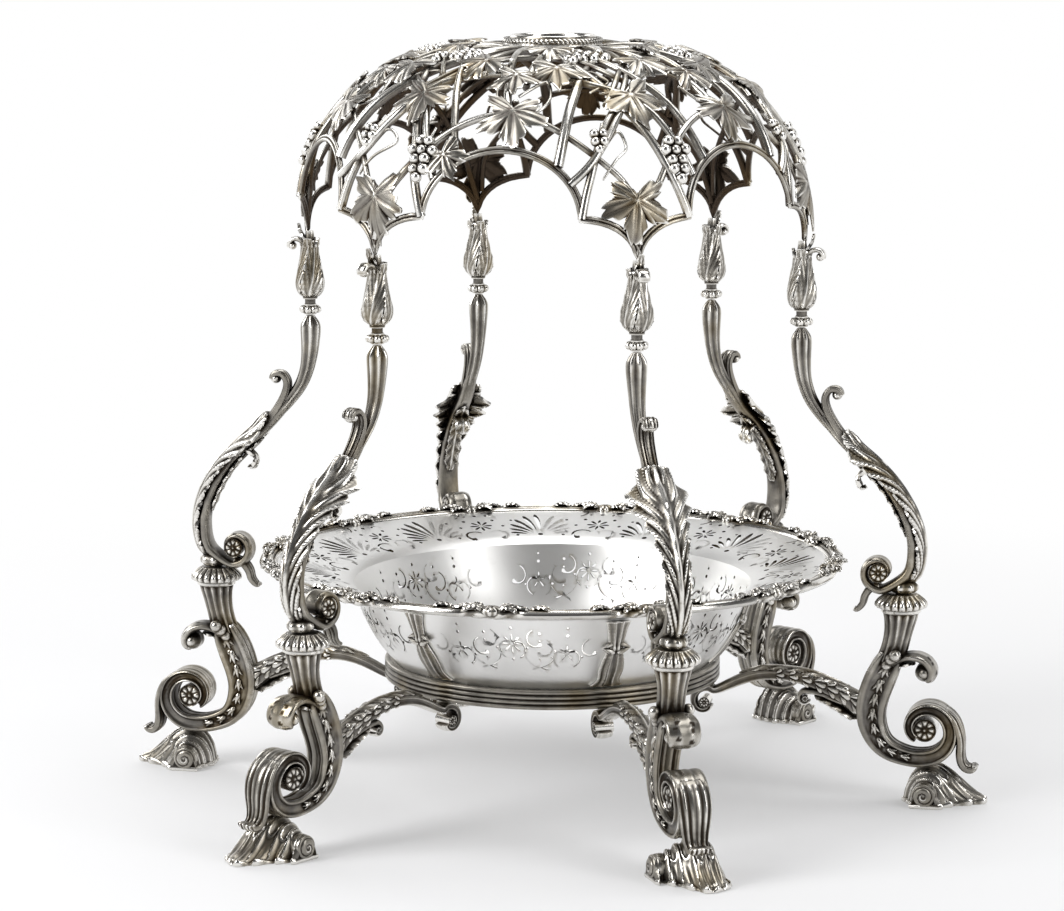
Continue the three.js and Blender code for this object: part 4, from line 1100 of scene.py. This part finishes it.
# --- Balusters ---
# On each shaft a small baluster of cast silver is screwed: a knop of beads between collars, then a vase
# wrapped in leaves, with a ribbon of leaf that curls out at its shoulder.
COLUMN_X = 155
BEADS, BEAD_R, BEAD_OUT, BEAD_Z = 8, 2.3, 4.9, 296.8
WRAPS, TWIST, TWIST_LOW, FIRST_WRAP = 4, 1.2, 305, degrees(0.2)  # the twist is in degrees to a mm
NECK_LOW, NECK_TOP = 299.6, 304
profile = [(3.0, 293.4), (3.9, 293.7), (3.9, 294.5), (3.0, 294.9), (3.1, 298.7), (4.1, 299.1), (4.1, 300),
           (3.3, 300.5), (3.3, 303), (4.6, 303.4), (4.6, 304.6), (5.6, 305.8), (6.8, 308.8), (7.2, 312.4),
           (6.8, 317), (5.9, 322), (5.2, 327), (4.3, 332), (3.6, 338), (2.9, 342), (2.5, 346.2)]
vase = draw_out([[COLUMN_X, z, r, r] for r, z in profile], oval(40))
beads = []
for j in range(BEADS):
    turn = j * tau / BEADS
    beads.append(ball(16, 10, (COLUMN_X + BEAD_OUT * cos(turn), BEAD_OUT * sin(turn), BEAD_Z), BEAD_R))


def twisted(p):
    """Winds a leaf round the vase as it climbs."""
    turn = radians(TWIST * (p.z - TWIST_LOW))
    x, y = p.x - COLUMN_X, p.y
    return COLUMN_X + x * cos(turn) - y * sin(turn), x * sin(turn) + y * cos(turn), p.z


wrap = leaf([[157.6, 304.6], [161.3, 307.4], [162.9, 312.2], [162.4, 318.2], [160.9, 325.5], [159.7, 332.5],
             [159.2, 339.5]], lambda u: 7.4 * (1 - 0.62 * u), 4, notch=0.1, slant=1.6, puff=0.4, ridge=0.7,
            curl=-1.1, thick=1.3, cells=50, root=0.7)
wrap.data.transform(spun(FIRST_WRAP, COLUMN_X))
move_points(wrap, twisted)
ribbon = draw_out(through([[153.5, 330, 1.2, 2.6], [156.5, 335.5, 1.4, 3.2], [160.4, 339.8, 1.5, 3.6],
                           [164.6, 340.8, 1.6, 3.7], [167.6, 338.6, 1.8, 3.6], [167.6, 335.6, 1.8, 3.2]], 3),
                  oval(16, 2.6))
ribbon_ball = move_points(ball(18, 12), lambda p: (166 + 2.5 * p.x, 3.7 * p.y, 336.4 + 2.5 * p.z))
thorn = leaf([[155, 338], [158.6, 342], [161, 346], [162, 350.5]], lambda u: 3.4 - 1.8 * u, 3, notch=0.25,
             puff=0.4, ridge=0.5, thick=1.4, root=0.8)
collar = leaf([[157, 332], [159.6, 337], [160.6, 341.6]], lambda u: 3.6 - 0.8 * u, 2, notch=0.2, puff=0.4,
              thick=1.2, root=0.8)
leaves = [wrap, collar]
for piece in (wrap, collar):
    leaves += [copy_of(piece, spun(j * 360 / WRAPS, COLUMN_X)) for j in range(1, WRAPS)]
baluster = join("baluster", [vase, *beads, ribbon, ribbon_ball, thorn, *leaves])
darken_hollows(baluster, reach=3, strength=1.2, extra=lambda p, n: -0.6 if NECK_LOW < p.z < NECK_TOP else 0)
finish_piece(baluster, cast_silver)
set_round(baluster, "leafy_baluster", "canopy", "baluster")

# --- Canopy ---
# Cast stems of silver cross one another over a dome and are soldered where they meet. They rise from a
# reeded moulding that comes down to a tip on every upright, with leaves and grapes pinned over them.
TIP_Z, DOME_R, DOME_RISE, FULLNESS, CROWN_IN = 346.6, 156.5, 117, 2.35, 23.5
MERIDIAN_STEPS, CROWN_DIP, DIP_FROM, DIP_OVER = 400, 3.4, 140, 60
meridian = []
for i in range(MERIDIAN_STEPS + 1):
    turn = i / MERIDIAN_STEPS * pi / 2
    meridian.append((CROWN_IN + 2 + (DOME_R - CROWN_IN - 2) * max(0, cos(turn)) ** (2 / FULLNESS),
                     TIP_Z + DOME_RISE * sin(turn) ** (2 / FULLNESS)))
climbs = [0]
for a, b in zip(meridian, meridian[1:]):
    climbs.append(climbs[-1] + dist(a, b))
crown_height = climbs[-1]


def on_dome(angle, height, off=0.0):
    """A point on the dome in mm: its angle in degrees, its height up the dome and how far off it."""
    height = max(0.4, min(crown_height - 0.4, height))
    off -= CROWN_DIP * (max(0, height - DIP_FROM) / DIP_OVER) ** 2
    i, t = find(climbs, height)
    (r0, z0), (r1, z1) = meridian[i - 1], meridian[i]
    long = hypot(r1 - r0, z1 - z0)
    r, z = r0 + (r1 - r0) * t + off * (z1 - z0) / long, z0 + (z1 - z0) * t - off * (r1 - r0) / long
    return Vector((r * cos(radians(angle)), r * sin(radians(angle)), z))


begin()
stems = bpy.data.curves.new("vine_stems", "CURVE")
stems.dimensions, stems.bevel_depth, stems.bevel_resolution, stems.use_fill_caps = "3D", MM, 2, True


def grow(points, radii, closed=False):
    """Lays a stem along points in mm, with its radius at each."""
    stem = stems.splines.new("POLY")
    stem.points.add(len(points) - 1)
    for point, place, radius in zip(stem.points, points, radii):
        point.co = (*(place * MM), 1)
        point.radius = radius
    stem.use_cyclic_u = closed


def vine(route, thick, weave=0.0, steps=6):
    """A stem that follows [angle, height] over the dome, thinner to its end, in and out of others."""
    line = through(route, steps)
    last = len(line) - 1
    grow([on_dome(a, h, weave * sin(i / last * pi * 3)) for i, (a, h) in enumerate(line)],
         [1.38 * thick * (1 - 0.25 * i / last) for i in range(last + 1)])


random.seed(7)
CUSP, ARCH_HALF, CUSP_Z, ARCH_RISE, TIP_HEIGHT = 12.2, 17.8, 24, 41, 0.8
REED_OFF, REED_THICK, BACK_OFF, BACK_THICK = 1.15, 1.25, -0.9, 1.1  # the moulding's two reeds, and its back
edge = []
for k in range(6):
    column = k * TURN
    cusp = [(CUSP * (1 - cos(radians(turn))), CUSP_Z * sin(radians(turn)))
            for turn in range(10, 91, 10)]
    edge.append((column, TIP_HEIGHT))
    edge += [(column + across, height) for across, height in cusp]
    for turn in range(6, 180, 6):
        edge.append((column + TURN / 2 - ARCH_HALF * cos(radians(turn)),
                     CUSP_Z + ARCH_RISE * sin(radians(turn))))
    edge += [(column + TURN - across, height) for across, height in cusp[::-1]]
places = [on_dome(a, h) for a, h in edge]
for sign in (-1, 1):
    rail = []
    for i, (a, h) in enumerate(edge):
        out = (on_dome(a, h, 1) - places[i]).normalized()
        along = (places[(i + 1) % len(edge)] - places[i - 1]).normalized()
        rail.append(places[i] + along.cross(out) * sign * REED_OFF + out * 0.1)
    grow(rail, [REED_THICK] * len(rail), True)
grow([on_dome(a, h, BACK_OFF) for a, h in edge], [BACK_THICK] * len(edge), True)


def wild(route, middle):
    """Sets a route about the middle of a bay, and lets all of it but its start wander a little."""
    line = []
    for i, (angle, height) in enumerate(route):
        if i:
            angle, height = angle + random.uniform(-1.2, 1.2), height + random.uniform(-2, 2)
        line.append((middle + angle, height))
    return line


top = crown_height
VINES = [  # each stem's route in a bay, its thickness, how it weaves, and the steps between its stations
    ([(-17.8, 24), (-20.5, 45), (-25, 76), (-34, 112), (-44, 148), (-52, top)], 2.0, 0.8, 6),
    ([(17.8, 24), (20.5, 45), (25, 76), (32, 106), (41, 142), (50, top)], 1.9, -0.8, 6),
    ([(12.8, 55), (16, 96), (23.5, 132), (36, 162), (50, top)], 2.3, 1.0, 6),
    ([(-11, 58), (-15, 98), (-24, 134), (-35, 163), (-46, top)], 1.7, -0.9, 6),
    ([(0, 88), (-2.5, 118), (-7, 152), (-12, top)], 1.9, 0.6, 6),
    ([(3.5, 112), (6, 145), (12, top)], 1.6, -0.6, 6),
    ([(-29.8, 9), (-29, 24), (-25.5, 42), (-17, 70), (-8, 86), (2.5, 89), (12.5, 80), (21.5, 60), (27.5, 38),
      (29.6, 14)], 1.7, -0.7, 6),
    ([(-44.6, 44), (-39, 58), (-32.5, 86), (-26.5, 110), (-12.5, 127), (7.5, 127), (25, 114), (35.5, 95),
      (40, 74),
      (45.4, 47)], 1.9, 0.9, 6),
    ([(-34, 96), (-20, 138), (0, 156), (20, 146), (36, 118)], 1.5, 0.8, 6),
    ([(2, 104), (10, 116), (12, 101), (5, 92), (-4, 98), (-6, 112)], 0.75, 0.4, 8),
    ([(-38, 60), (-33, 76), (-30, 68), (-34, 58), (-37, 48)], 0.75, 0.4, 8),
    ([(18, 118), (26, 128), (30, 116), (23, 108)], 0.7, 0.6, 8),
]
for k in range(6):
    for route, thick, weave, steps in VINES:
        vine(wild(route, k * TURN + 30), thick, weave, steps)
stem_object = bpy.data.objects.new("vine_trellis", stems)
bpy.context.collection.objects.link(stem_object)
stem_object.select_set(True)
bpy.context.view_layer.objects.active = stem_object
bpy.ops.object.convert(target="MESH")
trellis = bpy.context.object


DOME_MIDDLE, DOME_FLATNESS = 340, 1.3


def dome_inside_shade(p, normal):
    """Painted shade on the inside of the dome, on the faces that turn in towards its middle."""
    axis = Vector((p.x, p.y, (p.z - DOME_MIDDLE) * DOME_FLATNESS)).normalized()
    return max(0, -normal.dot(axis)) * 1.2


CROWN_LOW, CROWN_TOP = 460.9, 463.2
crown = turn_round("crown_band", [(24, CROWN_LOW), (31, CROWN_LOW), (31.4, 461.8), (30.4, 462.4),
                                  (31, CROWN_TOP), (24, CROWN_TOP)], 96)
trellis = join("vine_trellis", [trellis, crown])
# The stems get painted shade where they face into the dome.
darken_hollows(trellis, reach=5, strength=1.7, extra=dome_inside_shade, ground=0.47, rubbed=2.4)
vine_silver = silver("vine_silver", (0.88, 0.865, 0.83), (0.07, 0.052, 0.038), 0.21)
finish_piece(trellis, vine_silver, 60)
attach(trellis, "canopy")
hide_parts("canopy_trellis")

# Way, length, half width.
LOBES = [(0, 1.06, 35), (64, 0.98, 34), (-64, 0.98, 34), (122, 0.82, 33), (-122, 0.82, 33)]
# The leaf is cut in from this many degrees off its tip, where its stalk joins.
LEAF_THICK, STALK_FROM = 1.1, 155


def vine_leaf(name, angle, height, size, lean, off=2.4, stretch=1.0):
    """A five-lobed vine leaf with toothed edges and sunk veins, bent to the dome. Its tip hangs down
    when it doesn't lean."""
    begin()
    bpy.ops.mesh.primitive_circle_add(vertices=120, radius=MM, fill_type="NGON")
    piece = bpy.context.object
    piece.name = name
    bpy.ops.object.mode_set(mode="EDIT")
    bpy.ops.mesh.select_all(action="SELECT")
    for share in (0.07, 0.11, 0.15, 0.18, 0.18, 0.15):
        bpy.ops.mesh.inset(thickness=share * MM)
    bpy.ops.mesh.poke()
    bpy.ops.object.mode_set(mode="OBJECT")
    shift = random.uniform(0, 6)
    reach = on_dome(0, height).x

    def bend(p):
        turn, r = degrees(atan2(p.x, -p.y)), hypot(p.x, p.y)
        wide, vein, puff = 0.46, 0.0, 0.0
        for way, long, half in LOBES:
            apart = abs((turn - way + 180) % 360 - 180)
            share = apart / half
            if share < 1.4:
                wide = max(wide, long * (1 - 0.27 * share - 0.3 * share ** 4 + 0.1 * bump(apart, 6)))
                vein = max(vein, bump(apart * r, 3.6) * min(1, r * 5) * min(1, (1.04 - r) * 6))
                puff = max(puff, 1 - min(1, share) ** 2)
        wide *= 1 + (0.2 * ((turn / 17 + shift) % 1 - 0.5) + 0.05 * sin(radians(turn * 5) + shift)) * r
        if abs(turn) > STALK_FROM:
            wide *= 0.35 + 0.65 * (180 - abs(turn)) / (180 - STALK_FROM) * 0.6
        turn = radians(turn)
        x, y = size * wide * r * sin(turn), -size * stretch * wide * r * cos(turn)
        up = 1.7 * (1 - (1 - puff) * r * r) - 0.75 * vein - 1.8 * r ** 3
        up += 2.2 * r * r * sin(turn * 2 + shift) + 0.7 * r ** 3 * sin(turn * 3 + 2 * shift)
        c, s = cos(lean), sin(lean)
        x, y = x * c - y * s, x * s + y * c
        return on_dome(angle + degrees(x / reach), height + y, off + up)

    return thicken(move_points(piece, bend), LEAF_THICK)


def grapes(name, angle, height, rows, berry, off=2.2):
    """A bunch of grapes that hangs in rows over the stems, on a short stalk."""
    reach = on_dome(0, height).x
    made = []
    for row, count in enumerate(rows):
        for j in range(count):
            across = (j - (count - 1) / 2) * berry * 1.75 + random.uniform(-0.3, 0.3)
            up = -row * berry * 1.6 + random.uniform(-0.4, 0.4)
            size = berry * random.uniform(0.92, 1.05)
            spot = on_dome(angle + degrees(across / reach), height + up, off + random.uniform(0, 1.3))
            made.append(ball(14, 9, spot, size))
    begin()
    bpy.ops.mesh.primitive_cone_add(vertices=10, radius1=0.9 * MM, radius2=0.6 * MM, depth=berry * 4.2 * MM)
    stalk = bpy.context.object
    base, end = on_dome(angle, height - berry, off - 0.8), on_dome(angle + 1.2, height + 2.6 * berry, 1.0)
    lean = (end - base).to_track_quat("Z", "Y").to_matrix().to_4x4()
    stalk.data.transform(Matrix.Translation((base + end) / 2 * MM) @ lean)
    return join(name, made + [stalk])


def pin_on(piece, *nodes):
    """Finishes what is pinned over the stems, and lets it ride with the canopy."""
    # Leaves and grapes get painted shade where they face into the dome.
    darken_hollows(piece, reach=5, strength=1.8, extra=dome_inside_shade, ground=0.5, rubbed=2.8)
    finish_piece(piece, vine_silver, 50)
    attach(piece, "canopy")
    if nodes:
        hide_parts(*nodes)


extra_leaves, extra_grapes = [], []
EXTRA_LEAVES = [  # each leaf's angle from its upright, its height, size and lean, and how much that may vary
    (3.5, 101, 20, 0.25, 0.3), (16, 137, 17, 0, 0.6), (-17, 128, 18, 0, 0.6), (16.5, 60, 13.5, 0.5, 0),
    (40, 163, 14, 0, 1), (-30, 120, 15, 0, 0.8)]
EXTRA_GRAPES = [(-7.5, 74, (2, 2, 1), 2.9, 2.2), (49.5, 143, (2, 1), 3.0, 2.2),
                (-1, 155, (3, 4, 3), 3.2, 0.4)]
for k in range(6):
    column = k * TURN
    hanging = vine_leaf(f"hanging_leaf_{k + 1}", column + random.uniform(-0.5, 1.5), 34, 21,
                        random.uniform(-0.15, 0.2), stretch=1.16 if k % 2 == 0 else 1.02)
    pin_on(hanging, f"spandrel_leaf_{k + 1}")
    pin_on(vine_leaf(f"arch_leaf_{k + 1}", column + 31.5, 89, 21, random.uniform(-0.25, 0.1)),
           f"bay_leaf_{k + 1}")
    pin_on(grapes(f"grapes_{k + 1}", column + 10.6, 68, (2, 3, 2, 2, 1), 3.5), f"grape_bunch_{k + 1}")
    for angle, height, size, lean, sway in EXTRA_LEAVES:
        if sway or k % 2 == 0:  # the leaf that doesn't vary hangs in every second bay
            lean += random.uniform(-sway, sway) if sway else 0
            extra_leaves.append(vine_leaf("leaf", column + angle, height, size, lean))
    for angle, height, rows, berry, off in EXTRA_GRAPES:
        extra_grapes.append(grapes("grapes", column + angle, height, rows, berry, off))
pin_on(join("vine_leaves", extra_leaves))
pin_on(join("vine_grapes", extra_grapes))

# --- Top ring ---
# A turned ring of silver is soldered on the crown and closes it: a twisted rope runs round its edge, and
# a thin upright lip stands inside that, where a finial or a vase would sit.
ROPE_OUT, ROPE_Z, ROPE_R, STRANDS = 29, 466, 1.9, 32
top_ring = turn_round("crown_ring", [
    (23.6, 463.7), (30.2, 463.7), (30.2, 465), (27.6, 466.6), (26.4, 467), (26.2, 469), (25.4, 469.5),
    (24.2, 469.3), (23.6, 468.4)], 120)
begin()
bpy.ops.mesh.primitive_torus_add(major_radius=ROPE_OUT * MM, minor_radius=ROPE_R * MM, major_segments=560,
                                 minor_segments=12, location=(0, 0, ROPE_Z * MM))
rope = bpy.context.object
bpy.ops.object.transform_apply(location=True)


def rope_point(p):
    """Twists the rope's strands round it."""
    out, up = hypot(p.x, p.y) - ROPE_OUT, p.z - ROPE_Z
    turn, strand = atan2(p.y, p.x), atan2(up, out)
    thick = 0.6 + 0.46 * abs(cos(strand + turn * STRANDS))
    r = ROPE_OUT + out * thick
    return r * cos(turn), r * sin(turn), ROPE_Z + up * thick


move_points(rope, rope_point)
top_ring = join("crown_ring", [top_ring, rope])
darken_hollows(top_ring, reach=3, strength=1.8, ground=0.5)
finish_piece(top_ring, cast_silver, 60)
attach(top_ring, "canopy")
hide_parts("top_ring")
